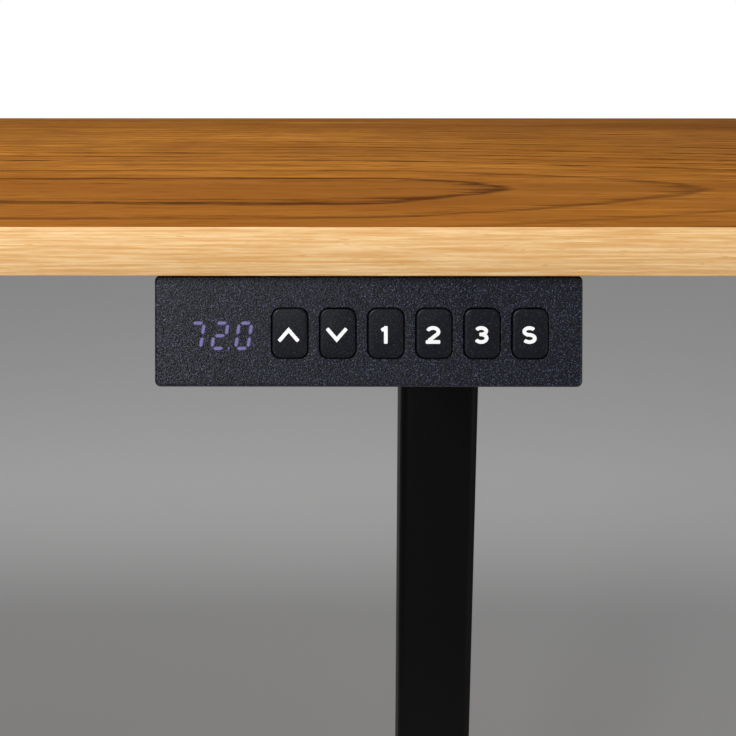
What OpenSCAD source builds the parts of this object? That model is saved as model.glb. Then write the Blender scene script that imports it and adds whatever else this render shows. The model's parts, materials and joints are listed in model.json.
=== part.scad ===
// Height adjustable standing desk with one motor, two telescopic legs and a six-key keypad.
// Millimetres, +Z up. Origin on the floor under the middle of the desktop. The user sits at -Y.
// Everything is drawn at the lowest height; the lift joint raises the top by lift_travel.

/* [Desktop] */
// Width of the desktop, left to right
desk_w = 1400; // [1000:10:1700]
// Depth of the desktop, front to back
desk_d = 600; // [500:10:800]
// Thickness of the board
desk_t = 16; // [15:0.5:30]
// Height of the desktop's upper face at the lowest setting
desk_h = 720; // [700:2:870]
// Thickness of the oak edge bands
band_t = 1; // [0.8:0.1:2]

/* [Lift] */
// How far the desktop rises
lift_travel = 460; // [300:5:470]
// Diameter of the lead screws
screw_d = 14; // [11.5:0.5:17]
// Outer diameter of the lift nuts
nut_d = 28; // [26:0.5:29]
// Height of the lift nuts
nut_h = 30; // [20:1:36]
// Outer diameter of the posts that carry the nuts
post_d = 22; // [20:0.5:24]
// Wall of the posts
post_wall = 1.6; // [1:0.1:2]

/* [Legs] */
// Distance from each end of the desktop to the middle of its leg
leg_inset = 260; // [120:5:300]
// Outer column, left to right
column_w = 45; // [43:1:60]
// Outer column, front to back
column_d = 75; // [70:1:100]
// Wall of both columns
column_wall = 1.5; // [1.2:0.1:2]
// Outer corner radius of the outer column
column_r = 6; // [4:0.5:9]
// Space between the outer and the inner column, for the plastic guides
guide_space = 1.5; // [1.2:0.1:3]
// Height of the guide collar's visible lip
collar_lip = 5; // [3:0.5:8]
// Bare length of the inner column at the lowest setting
column_bare = 15; // [8:1:30]

/* [Feet] */
// Length of each foot, front to back
foot_len = 560; // [450:5:700]
// Width of each foot
foot_w = 70; // [66:1:90]
// Height of each foot's beam at the column
foot_h = 34; // [28:1:45]
// Height of each foot's beam at its ends
foot_end_h = 15; // [14:1:24]
// Wall of the feet
foot_wall = 2; // [1.5:0.1:3]
// Length of each foot's level stretch on top
foot_flat = 180; // [150:5:240]
// Height of the foot beam's underside over the floor
foot_clear = 16; // [14:1:22]
// Diameter of the levelling pads
pad_d = 38; // [30:1:50]
// How far a levelling pad screws out
pad_travel = 8; // [4:1:8]

/* [Frame] */
// Thickness of the brackets under the desktop
bracket_t = 3; // [2.5:0.1:5]
// Width of the bracket arms
arm_w = 50; // [46:1:70]
// Distance from a bracket's end to the desktop's edge
arm_inset = 50; // [47:1:90]
// Height of the fold along the arms
arm_fold = 14; // [8:1:18]
// Height of the leg heads that hold the bevel gears
head_h = 56; // [54:0.5:60]
// Leg heads, front to back
head_d = 92; // [88:1:110]
// Height of the rails between the legs
rail_h = 32; // [28:1:36]
// Width of the rails' flanges
rail_flange = 18; // [14:1:24]
// Thickness of the rails
rail_t = 2; // [1.5:0.1:2.5]

/* [Drive] */
// Width across the flats of the hexagonal shaft
hex_af = 8; // [7:0.5:9]
// Distance from the left leg's middle to the motor's axis
motor_from_leg = 74; // [74:1:120]
// Outer diameter of the motor
motor_d = 52; // [44:1:53]
// Length of the motor's can
motor_len = 102; // [80:1:130]

/* [Keypad] */
// Distance from the keypad's left side to the middle of the first button
keypad_left = 44.6; // [40:1:60]
// Distance from the middle of the last button to the keypad's right side
keypad_right = 17.4; // [14:1:40]
// Length of the keypad's face, from top to bottom
keypad_face = 37; // [32:0.5:44]
// How far the face leans back from upright
face_tilt = 15; // [8:1:22]
// Distance from the desktop's front to the top of the face
keypad_setback = 2; // [0:0.5:10]
// Distance from the right leg's middle to the keypad's middle
keypad_from_leg = 40; // [0:1:200]
// Corner radius of the face
keypad_r = 2; // [1:0.1:3]
// Thickness of the keypad's walls
keypad_wall = 2; // [1.5:0.1:2.4]
// Width of a button
button_w = 11.5; // [9:0.1:13.8]
// Height of a button
button_h = 16.1; // [12:0.1:18]
// Corner radius of a button
button_r = 2.8; // [1:0.1:4]
// Space between two buttons
button_space = 4.3; // [3.5:0.1:8]
// Gap around a button
button_gap = 0.4; // [0.3:0.05:0.6]
// How far a button stands out of the face
button_proud = 0.8; // [0.5:0.1:1.5]
// How far a button travels
button_travel = 0.8; // [0.3:0.1:1]

/* [Control box] */
// Width of the control box
control_w = 220; // [180:5:260]
// Depth of the control box
control_d = 90; // [70:1:110]
// Height of the control box's tray
control_h = 33; // [30:1:45]
// Wall of the control box
control_wall = 2; // [1.5:0.1:3]

/* [Hidden] */
$fn = 48;

LEFT = -1;
RIGHT = 1;
// How far joined solids run into each other, and how far a cutter reaches past what it cuts
eps = 0.1;
over = 1;

// Clearances: a seat that is only assembled, a running fit, a sliding face and a screw's hole
seat_gap = 0.1;
run_gap = 0.05;
slide_clear = 0.3;
hole_gap = 0.3;

// Heights, worked out from the floor up and from the desktop down
under_z = desk_h - desk_t;
head_top = under_z - bracket_t;
head_bottom = head_top - head_h;
shaft_drop = 19;
shaft_z = head_top - shaft_drop;
collar_top = head_bottom - column_bare;
column_top = collar_top - collar_lip;
foot_top = foot_clear + foot_h;
base_plate_t = 4;
column_bottom = foot_top + base_plate_t;
block_lift = 3;
block_lip = 3;
inner_bottom = column_bottom + block_lift + block_lip;
screw_spare = 4;
screw_bottom = column_bottom + screw_spare;
nut_bottom = screw_bottom + lift_travel + screw_spare;
front_y = -desk_d / 2;

function leg_x(side) = side * (desk_w / 2 - leg_inset);
bracket_len = desk_d - 2 * arm_inset;

// Columns
cavity_w = column_w - 2 * column_wall;
cavity_d = column_d - 2 * column_wall;
inner_w = cavity_w - 2 * guide_space;
inner_d = cavity_d - 2 * guide_space;
inner_cavity_w = inner_w - 2 * column_wall;
inner_cavity_d = inner_d - 2 * column_wall;
fine_r = 0.5;
least_r = 1;
inner_r = max(column_r - column_wall - guide_space, 0) + least_r;
plug_r = max(inner_r - column_wall, fine_r);
collar_depth = 25;
base_plate_w = 64;
base_plate_d = 132;
base_plate_r = 6;
foot_bolt_x = 22;
foot_bolt_y = 54;
foot_bolt_past = 6;

// Feet
leveller_inset = 30;
leveller_y = foot_len / 2 - leveller_inset;
stud_r = 4;
stud_past = 1;
pad_h = 6;
pad_slope_h = 2;
pad_slope_w = 4;
hex_collar_af = 13;
cap_t = 4;
cap_plug_len = 8;
cap_plug_play = 1;

// Leg heads and bevel gears; the pitch cones meet at shaft_z on the column's axis
head_w = 64;
head_r = 4;
lug_len = 14;
lug_t = 6;
lug_d = 78;
lug_r = 5;
lug_bolt_y = 30;
spigot_len = 18;
bearing_od = 28;
bearing_t = 8;
bearing_drop = 5;
bearing_z = head_bottom - bearing_drop;
journal_step = 1;
journal_past = 1;
journal_r = screw_d / 2 - journal_step;
bevel_teeth = 16;
bevel_r = 12;
bevel_face = 3.5;
bevel_add = 0.9;
bevel_ded = 1.3;
bevel_back = 2;
bevel_back_in = 0.6;
bevel_back_into = 0.5;
gear_hub_wall = 1.2;
gear_hub_r = max(journal_r, hex_af / sqrt(3)) + gear_hub_wall;
gear_hub_room = 1;
screw_hub_len = 10;
shaft_hub_past = 3;
// Half widths of a gear tooth at its foot and at its tip, as shares of the pitch
tooth_foot = 0.25;
tooth_tip = 0.1;
bush_wall = 2;
bush_len = 6;
pocket_half = 16;
pocket_drop = 4;
pocket_in = head_w / 2 - bush_len;

// Brackets
bracket_r = 8;
plate_d = 100;
plate_rim = 4;
fold_from_rail = 10;
fold_taper = 40;
fold_end_h = 3;

// Rails and their bolts
rail_y = head_d / 2;
rail_drop = 7;
rail_top = head_top - rail_drop;
rail_end = 30;
rail_bolt_x = 20;
bolt_r = 3;
bolt_head_r = 5;
bolt_head_h = 4;
bolt_key = 5;
bolt_key_h = 2.4;
bolt_grip = 14;
bolt_short = 0.5;

// Worm drive and motor
motor_x = leg_x(LEFT) + motor_from_leg;
case_half = 24;
case_wall = 6;
case_drop = 32;
case_rise = 17;
case_bottom = shaft_z - case_drop;
case_top = shaft_z + case_rise;
case_bolt_x = -8;
blind_wall = 2;
cover_screw_y = 38;
cover_screw_z = [-22, 12];
wheel_teeth = 20;
wheel_r = 12.5;
wheel_w = 10;
wheel_add = 1;
wheel_ded = 1.4;
wheel_hub_r = 8;
wheel_hub_short = 1;
wheel_room = 3;
worm_r = 6.5;
worm_room = 3;
worm_play = 0.5;
worm_space = 6;
worm_pitch = 2 * PI * wheel_r / wheel_teeth;
worm_y = wheel_r + worm_r;
worm_half = 9.5;
// The worm's cross-section: half angle of its thread, angle of a flank and angle between two points
thread_half = 76;
thread_flank = 40;
thread_step = 20;
slices_a_turn = 8;
rotor_r = 4;
rotor_low = 3;
rotor_high = 4;
low_bush = 6;
top_bush = 5;
cap_bush = 8;
can_wall = 2.5;
end_cap_h = 8;
end_cap_plug = 6;
armature_r = 17;
armature_low = 22;
armature_high = 20;

// Fasteners into the board
wood_r = 2;
wood_head_r = 4;
wood_head_h = 2.4;
wood_bite = 11;
pan_slope = 1;
recess_w = 0.8;
recess_h = 1.3;
point_r = 0.3;
pilot_past = 0.4;
small_r = 1.5;
small_head_r = 3;
small_bite = 9;
// Places of the screws along half a bracket, as shares of its length
arm_screw_y = [0.5, 0.92];

// Keypad: the face's frame has x to the right, y into the body and z up along the face
keypad_x = leg_x(RIGHT) - keypad_from_leg;
keypad_depth = 24;
keypad_split = 7;
chin_len = 8;
chin_drop = 0.5;
heel_in = 4;
heel_rise = 6;
back_h = 14;
// How far the side view's corners move for each millimetre of inset
nose_share = 1.1;
chin_share = 0.7;
heel_share = 1.1;
back_share = 0.5;
button_count = 6;
button_pitch = button_w + button_space;
keypad_w = keypad_left + (button_count - 1) * button_pitch + keypad_right;
slot_w = button_w + 2 * button_gap;
slot_h = button_h + 2 * button_gap;
first_button = keypad_left - keypad_w / 2;
button_mid = -19.2;
flange_rim = 1.2;
flange_w = button_w + 2 * flange_rim;
flange_h = button_h + 2 * flange_rim;
flange_t = 1;
flange_y = keypad_wall + seat_gap;
display_to_button = 23;
display_x = first_button - display_to_button;
display_z = -20;
display_w = 26;
display_h = 14;
display_skin = 0.8;
display_gap = 0.2;
display_room = 0.5;
board_behind = 3;
board_y = keypad_split + board_behind;
board_t = 1.6;
board_up = 0.5;
board_side = 4;
board_end = 7;
switch_w = 6;
switch_gap = 0.2;
ear_inset = 14;
ear_x = keypad_w / 2 - ear_inset;
ear_w = 14;
ear_len = 16;
ear_t = 3;

// Control box, behind the rails
control_x = -20;
control_y = 125;
control_ear = 12;
control_r = 6;
lid_t = 3;
lid_in = 4;
vent_side_count = 3;
vent_pitch = 10;
vent_w = 3;
vent_len = 50;
vent_r = 1.4;
port_drop = 14;
port_len = 10;
port_wall = 2;
socket_h = 6;
control_top = under_z - lid_t;
control_bottom = control_top - control_h;

// Leads, held against the desktop's underside; z is measured from that underside
lead_r = 2.2;
lead_drop = 4.5;
lead_sides = 10;
lead_steps = 3;
handset_route = [
  [350, -275, -12], [350, -266, -12], [350, -250, -9], [350, -232, -5], [350, -210, -4.5],
  [350, -120, -4.5], [350, 0, -4.5], [350, 90, -4.5], [347, 108, -4.5], [340, 120, -4.5],
  [326, 125, -4.5], [250, 125, -4.5], [150, 125, -4.5], [125, 125, -6], [108, 125, -11],
  [97, 125, -14], [90, 125, -14]
];
motor_route = [
  [-342, -24, -12], [-334, -24, -12], [-322, -24, -9], [-306, -24, -5], [-290, -21, -4.5],
  [-278, -11, -4.5], [-275, 5, -4.5], [-275, 90, -4.5], [-272, 108, -4.5], [-264, 121, -4.5],
  [-248, 125, -4.5], [-185, 125, -4.5], [-165, 125, -6], [-148, 125, -11],
  [-137, 125, -14], [-130, 125, -14]
];
// Clips as x, y and the lead's direction there, 0 along X and 90 along Y
clips = [[350, -165, 90], [350, 20, 90], [290, 125, 0], [180, 125, 0], [-275, 20, 90], [-215, 125, 0]];
clip_w = 10;
clip_len = 18;
clip_wall = 3;
clip_h = 9;
clip_screw = 8;

// ---------- shared shapes ----------

module rounded(w, d, r) {
  square([w - 2 * r, d], center = true);
  square([w, d - 2 * r], center = true);
  for (x = [-1, 1], y = [-1, 1])
    translate([x * (w / 2 - r), y * (d / 2 - r)]) circle(r);
}

module tube(w, d, r, wall, h) {
  linear_extrude(h) difference() {
    rounded(w, d, r);
    rounded(w - 2 * wall, d - 2 * wall, max(r - wall, fine_r));
  }
}

// A cylinder along X or along Y, from the origin
module along_x(r, h) { rotate([0, 90, 0]) cylinder(r = r, h = h); }
module along_y(r, h) { rotate([-90, 0, 0]) cylinder(r = r, h = h); }

// The frame of a leg: +X points to the middle of the desk
module at_leg(side) {
  translate([leg_x(side), 0, 0]) mirror([side > 0 ? 1 : 0, 0, 0]) children();
}

module hexagon(af) { circle(r = af / sqrt(3), $fn = 6); }

// The frame of the keypad's face, with its origin at the middle of the upper edge
module on_face() {
  translate([keypad_x, front_y + keypad_setback, under_z]) rotate([-face_tilt, 0, 0]) children();
}

// A prism that goes into the keypad from y, centred at x and z on the face
module into_face(x, y, z, depth) {
  translate([x, y, z]) rotate([-90, 0, 0]) linear_extrude(depth) children();
}

// ---------- fasteners ----------

function both_ways(list) = [for (v = list) for (s = [-1, 1]) s * v];

bracket_screw_spots = [
  for (side = [LEFT, RIGHT]) for (y = both_ways(arm_screw_y)) [leg_x(side), y * bracket_len / 2]
];
control_screw_spots = [
  for (sx = [-1, 1]) for (sy = [-1, 1])
    [control_x + sx * (control_w + control_ear) / 2, control_y + sy * control_d / 3]
];
ear_screw_spots = [
  for (s = [-1, 1]) [keypad_x + s * ear_x, front_y + keypad_setback + keypad_depth + ear_len / 2]
];
clip_screw_spots = [
  for (c = clips) [c[0] + clip_screw * sin(c[2]), c[1] + clip_screw * cos(c[2])]
];

// A pan-head screw that goes up into the board from under_z, through what it clamps
module board_screw(r, head_r, grip, bite) {
  difference() {
    union() {
      translate([0, 0, -grip]) cylinder(r = r, h = grip + bite - r);
      translate([0, 0, bite - r]) cylinder(r1 = r, r2 = point_r, h = r);
      translate([0, 0, -grip - wood_head_h + pan_slope]) cylinder(r = head_r, h = wood_head_h - pan_slope);
      translate([0, 0, -grip - wood_head_h]) cylinder(r1 = head_r - pan_slope, r2 = head_r, h = pan_slope);
    }
    translate([0, 0, -grip - wood_head_h - eps]) linear_extrude(recess_h + eps) {
      square([head_r, recess_w], center = true);
      square([recess_w, head_r], center = true);
    }
  }
}

// A socket-head bolt along +Z; its head ends at the origin
module bolt(length) {
  difference() {
    union() {
      translate([0, 0, -bolt_head_h]) cylinder(r = bolt_head_r, h = bolt_head_h);
      cylinder(r = bolt_r, h = length);
    }
    translate([0, 0, -bolt_head_h - eps]) linear_extrude(bolt_key_h + eps) hexagon(bolt_key);
  }
}

module pilot_holes(spots, r, bite) {
  for (p = spots) translate([p[0], p[1], under_z - eps])
    cylinder(r = r + run_gap, h = bite + pilot_past + eps);
}

module through_holes(spots, r, t) {
  for (p = spots) translate([p[0], p[1], under_z - t - eps]) cylinder(r = r + hole_gap, h = t + 2 * eps);
}

// ---------- desktop ----------

module tabletop() {
  color([0.55, 0.34, 0.15]) difference() {
    translate([0, 0, under_z]) linear_extrude(desk_t)
      square([desk_w - 2 * band_t, desk_d - 2 * band_t], center = true);
    pilot_holes(bracket_screw_spots, wood_r, wood_bite);
    pilot_holes(concat(control_screw_spots, ear_screw_spots, clip_screw_spots), small_r, small_bite);
  }
}

module long_band(side) {
  color([0.93, 0.8, 0.6]) translate([-desk_w / 2, side * (desk_d - band_t) / 2 - band_t / 2, under_z])
    cube([desk_w, band_t, desk_t]);
}

module front_edge_band() { long_band(-1); }
module back_edge_band() { long_band(1); }

module side_edge_bands() {
  color([0.93, 0.8, 0.6]) for (side = [-1, 1])
    translate([side * (desk_w - band_t) / 2 - band_t / 2, -desk_d / 2 + band_t, under_z])
      cube([band_t, desk_d - 2 * band_t, desk_t]);
}

// ---------- feet ----------

function foot_profile(inset, len) = [
  [-len / 2, foot_clear + inset], [len / 2, foot_clear + inset],
  [len / 2, foot_clear + foot_end_h - inset], [foot_flat / 2, foot_top - inset],
  [-foot_flat / 2, foot_top - inset], [-len / 2, foot_clear + foot_end_h - inset]
];

module foot_solid(inset, len, w) {
  translate([-w / 2, 0, 0]) rotate([90, 0, 90]) linear_extrude(w) polygon(foot_profile(inset, len));
}

module foot(side) {
  color([0.05, 0.05, 0.055]) translate([leg_x(side), 0, 0]) difference() {
    foot_solid(0, foot_len, foot_w);
    foot_solid(foot_wall, foot_len + 2 * over, foot_w - 2 * foot_wall);
    for (s = [-1, 1]) translate([0, s * leveller_y, foot_clear - over])
      cylinder(r = stud_r + run_gap, h = foot_wall + 2 * over);
    for (x = [-1, 1], y = [-1, 1])
      translate([x * foot_bolt_x, y * foot_bolt_y, foot_top - foot_wall - over])
        cylinder(r = bolt_r + hole_gap, h = foot_wall + 2 * over);
  }
}

module foot_left() { foot(LEFT); }
module foot_right() { foot(RIGHT); }

module foot_end_caps() {
  plug_h = foot_end_h - 2 * foot_wall - 2 * seat_gap - cap_plug_play;
  color([0.04, 0.04, 0.04]) for (side = [LEFT, RIGHT], s = [-1, 1])
    translate([leg_x(side), s * foot_len / 2, foot_clear]) scale([1, s, 1]) {
      translate([-foot_w / 2, 0, 0]) cube([foot_w, cap_t, foot_end_h]);
      translate([-foot_w / 2 + foot_wall + seat_gap, -cap_plug_len, foot_wall + seat_gap])
        cube([foot_w - 2 * foot_wall - 2 * seat_gap, cap_plug_len + eps, plug_h]);
    }
}

module foot_bolts() {
  color([0.6, 0.6, 0.62]) for (side = [LEFT, RIGHT], x = [-1, 1], y = [-1, 1])
    translate([leg_x(side) + x * foot_bolt_x, y * foot_bolt_y, column_bottom])
      mirror([0, 0, 1]) bolt(base_plate_t + foot_wall + foot_bolt_past);
}

module leveller(side, s) {
  color([0.05, 0.05, 0.05]) translate([leg_x(side), s * leveller_y, 0]) {
    cylinder(d = pad_d, h = pad_h - pad_slope_h);
    translate([0, 0, pad_h - pad_slope_h])
      cylinder(d1 = pad_d, d2 = pad_d - 2 * pad_slope_w, h = pad_slope_h);
    translate([0, 0, pad_h]) linear_extrude(foot_clear - pad_h - slide_clear) hexagon(hex_collar_af);
    cylinder(r = stud_r, h = foot_clear + pad_travel + foot_wall + stud_past);
  }
}

module leveller_front_left() { leveller(LEFT, -1); }
module leveller_front_right() { leveller(RIGHT, -1); }
module leveller_back_left() { leveller(LEFT, 1); }
module leveller_back_right() { leveller(RIGHT, 1); }

// ---------- columns ----------

module lower_column(side) {
  color([0.045, 0.045, 0.05]) translate([leg_x(side), 0, 0]) {
    translate([0, 0, column_bottom - eps])
      tube(column_w, column_d, column_r, column_wall, column_top - column_bottom + eps);
    difference() {
      translate([0, 0, foot_top]) linear_extrude(base_plate_t)
        rounded(base_plate_w, base_plate_d, base_plate_r);
      for (x = [-1, 1], y = [-1, 1]) translate([x * foot_bolt_x, y * foot_bolt_y, foot_top - eps])
        cylinder(r = bolt_r + hole_gap, h = base_plate_t + 2 * eps);
    }
  }
}

module left_lower_column() { lower_column(LEFT); }
module right_lower_column() { lower_column(RIGHT); }

module upper_column(side) {
  color([0.05, 0.05, 0.055]) translate([leg_x(side), 0, inner_bottom])
    tube(inner_w, inner_d, inner_r, column_wall, head_bottom - inner_bottom);
}

module left_upper_column() { upper_column(LEFT); }
module right_upper_column() { upper_column(RIGHT); }

module guide_collars() {
  color([0.03, 0.03, 0.03]) for (side = [LEFT, RIGHT]) translate([leg_x(side), 0, 0]) difference() {
    union() {
      translate([0, 0, column_top]) linear_extrude(collar_lip) rounded(column_w, column_d, column_r);
      translate([0, 0, column_top - collar_depth]) linear_extrude(collar_depth + eps)
        rounded(cavity_w - 2 * seat_gap, cavity_d - 2 * seat_gap, column_r - column_wall);
    }
    translate([0, 0, column_top - collar_depth - eps]) linear_extrude(collar_depth + collar_lip + 2 * eps)
      rounded(inner_w + 2 * slide_clear, inner_d + 2 * slide_clear, inner_r + slide_clear);
  }
}

module nut_posts() {
  color([0.55, 0.56, 0.58]) for (side = [LEFT, RIGHT]) translate([leg_x(side), 0, column_bottom])
    difference() {
      cylinder(d = post_d, h = nut_bottom - column_bottom);
      translate([0, 0, -eps]) cylinder(d = post_d - 2 * post_wall, h = nut_bottom - column_bottom + 2 * eps);
    }
}

module lift_nuts() {
  skirt = 10;
  color([0.92, 0.92, 0.88]) for (side = [LEFT, RIGHT]) translate([leg_x(side), 0, nut_bottom])
    difference() {
      translate([0, 0, -skirt]) cylinder(d = nut_d, h = nut_h + skirt);
      translate([0, 0, -skirt - eps]) cylinder(d = post_d + 2 * seat_gap, h = skirt + eps);
      translate([0, 0, -eps]) cylinder(d = screw_d + 2 * run_gap, h = nut_h + 2 * eps);
    }
}

module slide_blocks() {
  plug_len = 30;
  nut_room = 0.5;
  color([0.8, 0.8, 0.78]) for (side = [LEFT, RIGHT]) translate([leg_x(side), 0, 0]) difference() {
    union() {
      translate([0, 0, inner_bottom - block_lip]) linear_extrude(block_lip)
        rounded(cavity_w - 2 * slide_clear, cavity_d - 2 * slide_clear, column_r - column_wall);
      translate([0, 0, inner_bottom - eps]) linear_extrude(plug_len)
        rounded(inner_cavity_w - 2 * seat_gap, inner_cavity_d - 2 * seat_gap, plug_r);
    }
    translate([0, 0, inner_bottom - block_lip - eps])
      cylinder(d = nut_d + 2 * nut_room, h = plug_len + block_lip + over);
  }
}

// ---------- lead screws and bevel gears ----------

module lead_screw(side) {
  color([0.72, 0.73, 0.75]) translate([leg_x(side), 0, 0]) {
    translate([0, 0, screw_bottom]) cylinder(d = screw_d, h = bearing_z - screw_bottom);
    translate([0, 0, bearing_z - eps])
      cylinder(r = journal_r, h = shaft_z - bevel_r - bearing_z + journal_past);
  }
}

module left_lead_screw() { lead_screw(LEFT); }
module right_lead_screw() { lead_screw(RIGHT); }

module screw_bearings() {
  color([0.75, 0.76, 0.78]) for (side = [LEFT, RIGHT]) translate([leg_x(side), 0, bearing_z]) difference() {
    cylinder(d = bearing_od, h = bearing_t);
    translate([0, 0, -eps]) cylinder(r = journal_r + run_gap, h = bearing_t + 2 * eps);
  }
}

// Outline of a gear with straight-sided teeth that leave room between them
module gear_outline(teeth, r, add, ded, phase) {
  step = 360 / teeth;
  root = r - ded;
  tip = r + add;
  polygon([
    for (k = [0 : teeth - 1])
      for (p = [[-tooth_foot, root], [-tooth_tip, tip], [tooth_tip, tip], [tooth_foot, root]])
        [p[1] * cos((k + p[0]) * step + phase), p[1] * sin((k + p[0]) * step + phase)]
  ]);
}

// A bevel gear on the Z axis whose pitch cone has its point at the origin, teeth upwards
module bevel_gear(phase, hub_len) {
  translate([0, 0, -bevel_r]) {
    linear_extrude(bevel_face, scale = (bevel_r - bevel_face) / bevel_r, slices = 1, segments = 0)
      gear_outline(bevel_teeth, bevel_r, bevel_add, bevel_ded, phase);
    translate([0, 0, -bevel_back])
      cylinder(r = bevel_r - bevel_ded - bevel_back_in, h = bevel_back + bevel_back_into);
    translate([0, 0, -hub_len]) cylinder(r = gear_hub_r, h = hub_len);
  }
}

module screw_gear(side) {
  color([0.62, 0.62, 0.64]) at_leg(side) translate([0, 0, shaft_z]) difference() {
    bevel_gear(0, screw_hub_len);
    translate([0, 0, -bevel_r - screw_hub_len - over])
      cylinder(r = journal_r + seat_gap, h = screw_hub_len + bevel_face + 2 * over);
  }
}

module left_screw_gear() { screw_gear(LEFT); }
module right_screw_gear() { screw_gear(RIGHT); }

module shaft_gears() {
  color([0.62, 0.62, 0.64]) for (side = [LEFT, RIGHT]) at_leg(side) translate([0, 0, shaft_z])
    rotate([0, -90, 0]) difference() {
      bevel_gear(180 / bevel_teeth, head_w / 2 - bevel_r + shaft_hub_past);
      translate([0, 0, -head_w]) linear_extrude(2 * head_w) hexagon(hex_af + 2 * seat_gap);
    }
}

module hex_shaft() {
  reach = leg_x(RIGHT) - bevel_r + bevel_face;
  color([0.7, 0.71, 0.73]) translate([-reach, 0, shaft_z]) rotate([0, 90, 0]) linear_extrude(2 * reach)
    hexagon(hex_af);
}

// ---------- leg heads, brackets and rails ----------

module lug_spots() {
  for (x = [-1, 1], y = [-1, 1])
    translate([x * (head_w / 2 + lug_len / 2), y * lug_bolt_y, 0]) children();
}

module leg_head(side) {
  color([0.3, 0.3, 0.31]) at_leg(side) difference() {
    union() {
      translate([0, 0, head_bottom]) linear_extrude(head_h) rounded(head_w, head_d - 2 * seat_gap, head_r);
      translate([0, 0, head_top - lug_t]) linear_extrude(lug_t) rounded(head_w + 2 * lug_len, lug_d, lug_r);
      translate([0, 0, head_bottom - spigot_len]) linear_extrude(spigot_len + eps)
        rounded(inner_cavity_w - 2 * seat_gap, inner_cavity_d - 2 * seat_gap, plug_r);
    }
    translate([0, 0, head_bottom - spigot_len - eps])
      cylinder(d = bearing_od + 2 * run_gap, h = bearing_z + bearing_t - head_bottom + spigot_len + eps);
    translate([0, 0, bearing_z]) cylinder(r = gear_hub_r + gear_hub_room, h = shaft_z - bevel_r - bearing_z);
    translate([-pocket_half, -pocket_half, shaft_z - bevel_r - pocket_drop])
      cube([pocket_half + pocket_in, 2 * pocket_half, head_top]);
    translate([pocket_in - eps, 0, shaft_z]) along_x(gear_hub_r + bush_wall + run_gap, bush_len + 2 * over);
    lug_spots() translate([0, 0, head_top - lug_t - eps]) cylinder(r = bolt_r + hole_gap, h = lug_t + over);
    for (x = [-1, 1], s = [-1, 1]) translate([x * rail_bolt_x, s * head_d / 2, rail_top - rail_h / 2])
      scale([1, -s, 1]) translate([0, -over, 0]) along_y(bolt_r + run_gap, bolt_grip + 2 * over);
  }
}

module left_leg_head() { leg_head(LEFT); }
module right_leg_head() { leg_head(RIGHT); }

// The folded sides of a bracket's arm, lower towards the end
module arm_folds(s) {
  near = head_d / 2 + rail_flange + fold_from_rail;
  far = bracket_len / 2;
  for (x = [-1, 1]) translate([x * (arm_w - bracket_t) / 2 - bracket_t / 2, 0, 0]) rotate([90, 0, 90])
    linear_extrude(bracket_t) polygon([
      [s * near, head_top + eps], [s * far, head_top + eps], [s * far, head_top - fold_end_h],
      [s * (near + fold_taper), head_top - arm_fold], [s * near, head_top - arm_fold]
    ]);
}

module bracket(side) {
  color([0.05, 0.05, 0.055]) difference() {
    translate([leg_x(side), 0, 0]) {
      translate([0, 0, head_top]) linear_extrude(bracket_t) {
        rounded(head_w + 2 * lug_len + 2 * plate_rim, plate_d, bracket_r);
        rounded(arm_w, bracket_len, bracket_r);
      }
      for (s = [-1, 1]) arm_folds(s);
    }
    through_holes(bracket_screw_spots, wood_r, bracket_t);
    translate([leg_x(side), 0, head_top - eps]) lug_spots()
      cylinder(r = bolt_r + run_gap, h = bracket_t + over);
  }
}

module left_bracket() { bracket(LEFT); }
module right_bracket() { bracket(RIGHT); }

// A channel between the leg heads; its web stands against them and its flanges point away
module rail(s) {
  len = 2 * (leg_x(RIGHT) + rail_end);
  color([0.05, 0.05, 0.055]) scale([1, s, 1]) difference() {
    translate([-len / 2, rail_y, rail_top - rail_h]) difference() {
      cube([len, rail_flange, rail_h]);
      translate([-over, rail_t, rail_t]) cube([len + 2 * over, rail_flange, rail_h - 2 * rail_t]);
    }
    for (x = rail_bolt_spots()) translate([x, rail_y - over, rail_top - rail_h / 2])
      along_y(bolt_r + hole_gap, rail_t + 2 * over);
  }
}

function rail_bolt_spots() = concat(
  [for (side = [LEFT, RIGHT]) for (x = [-1, 1]) leg_x(side) + x * rail_bolt_x],
  [motor_x + case_bolt_x]
);

module front_rail() { rail(-1); }
module back_rail() { rail(1); }

module frame_bolts() {
  color([0.6, 0.6, 0.62]) {
    for (x = rail_bolt_spots(), s = [-1, 1]) scale([1, s, 1])
      translate([x, rail_y + rail_t, rail_top - rail_h / 2]) rotate([90, 0, 0]) bolt(bolt_grip);
    for (side = [LEFT, RIGHT]) translate([leg_x(side), 0, head_top - lug_t]) lug_spots()
      bolt(lug_t + bracket_t - bolt_short);
  }
}

// ---------- worm drive and motor ----------

module at_motor() { translate([motor_x, 0, shaft_z]) children(); }

// What the gearbox holds: the wheel's chamber, the worm's chamber and their shafts
module gearbox_hollow() {
  translate([-case_half + case_wall, 0, 0]) along_x(wheel_r + wheel_room, 2 * (case_half - case_wall));
  translate([-case_half - over, 0, 0]) along_x(wheel_hub_r + bush_wall + run_gap, 2 * case_half + 2 * over);
  translate([0, worm_y, -worm_half - worm_space])
    cylinder(r = worm_r + worm_room, h = 2 * worm_half + worm_space + worm_play);
  translate([0, worm_y, case_bottom - shaft_z - over])
    cylinder(r = rotor_r + bush_wall + run_gap, h = case_top - case_bottom - blind_wall + over);
}

module gearbox_block(from_x, to_x) {
  translate([from_x, -head_d / 2 + seat_gap, case_bottom - shaft_z])
    cube([to_x - from_x, head_d - 2 * seat_gap, case_top - case_bottom]);
}

module cover_screw_spots() {
  for (y = [-1, 1], z = cover_screw_z) translate([0, y * cover_screw_y, z]) children();
}

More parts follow.
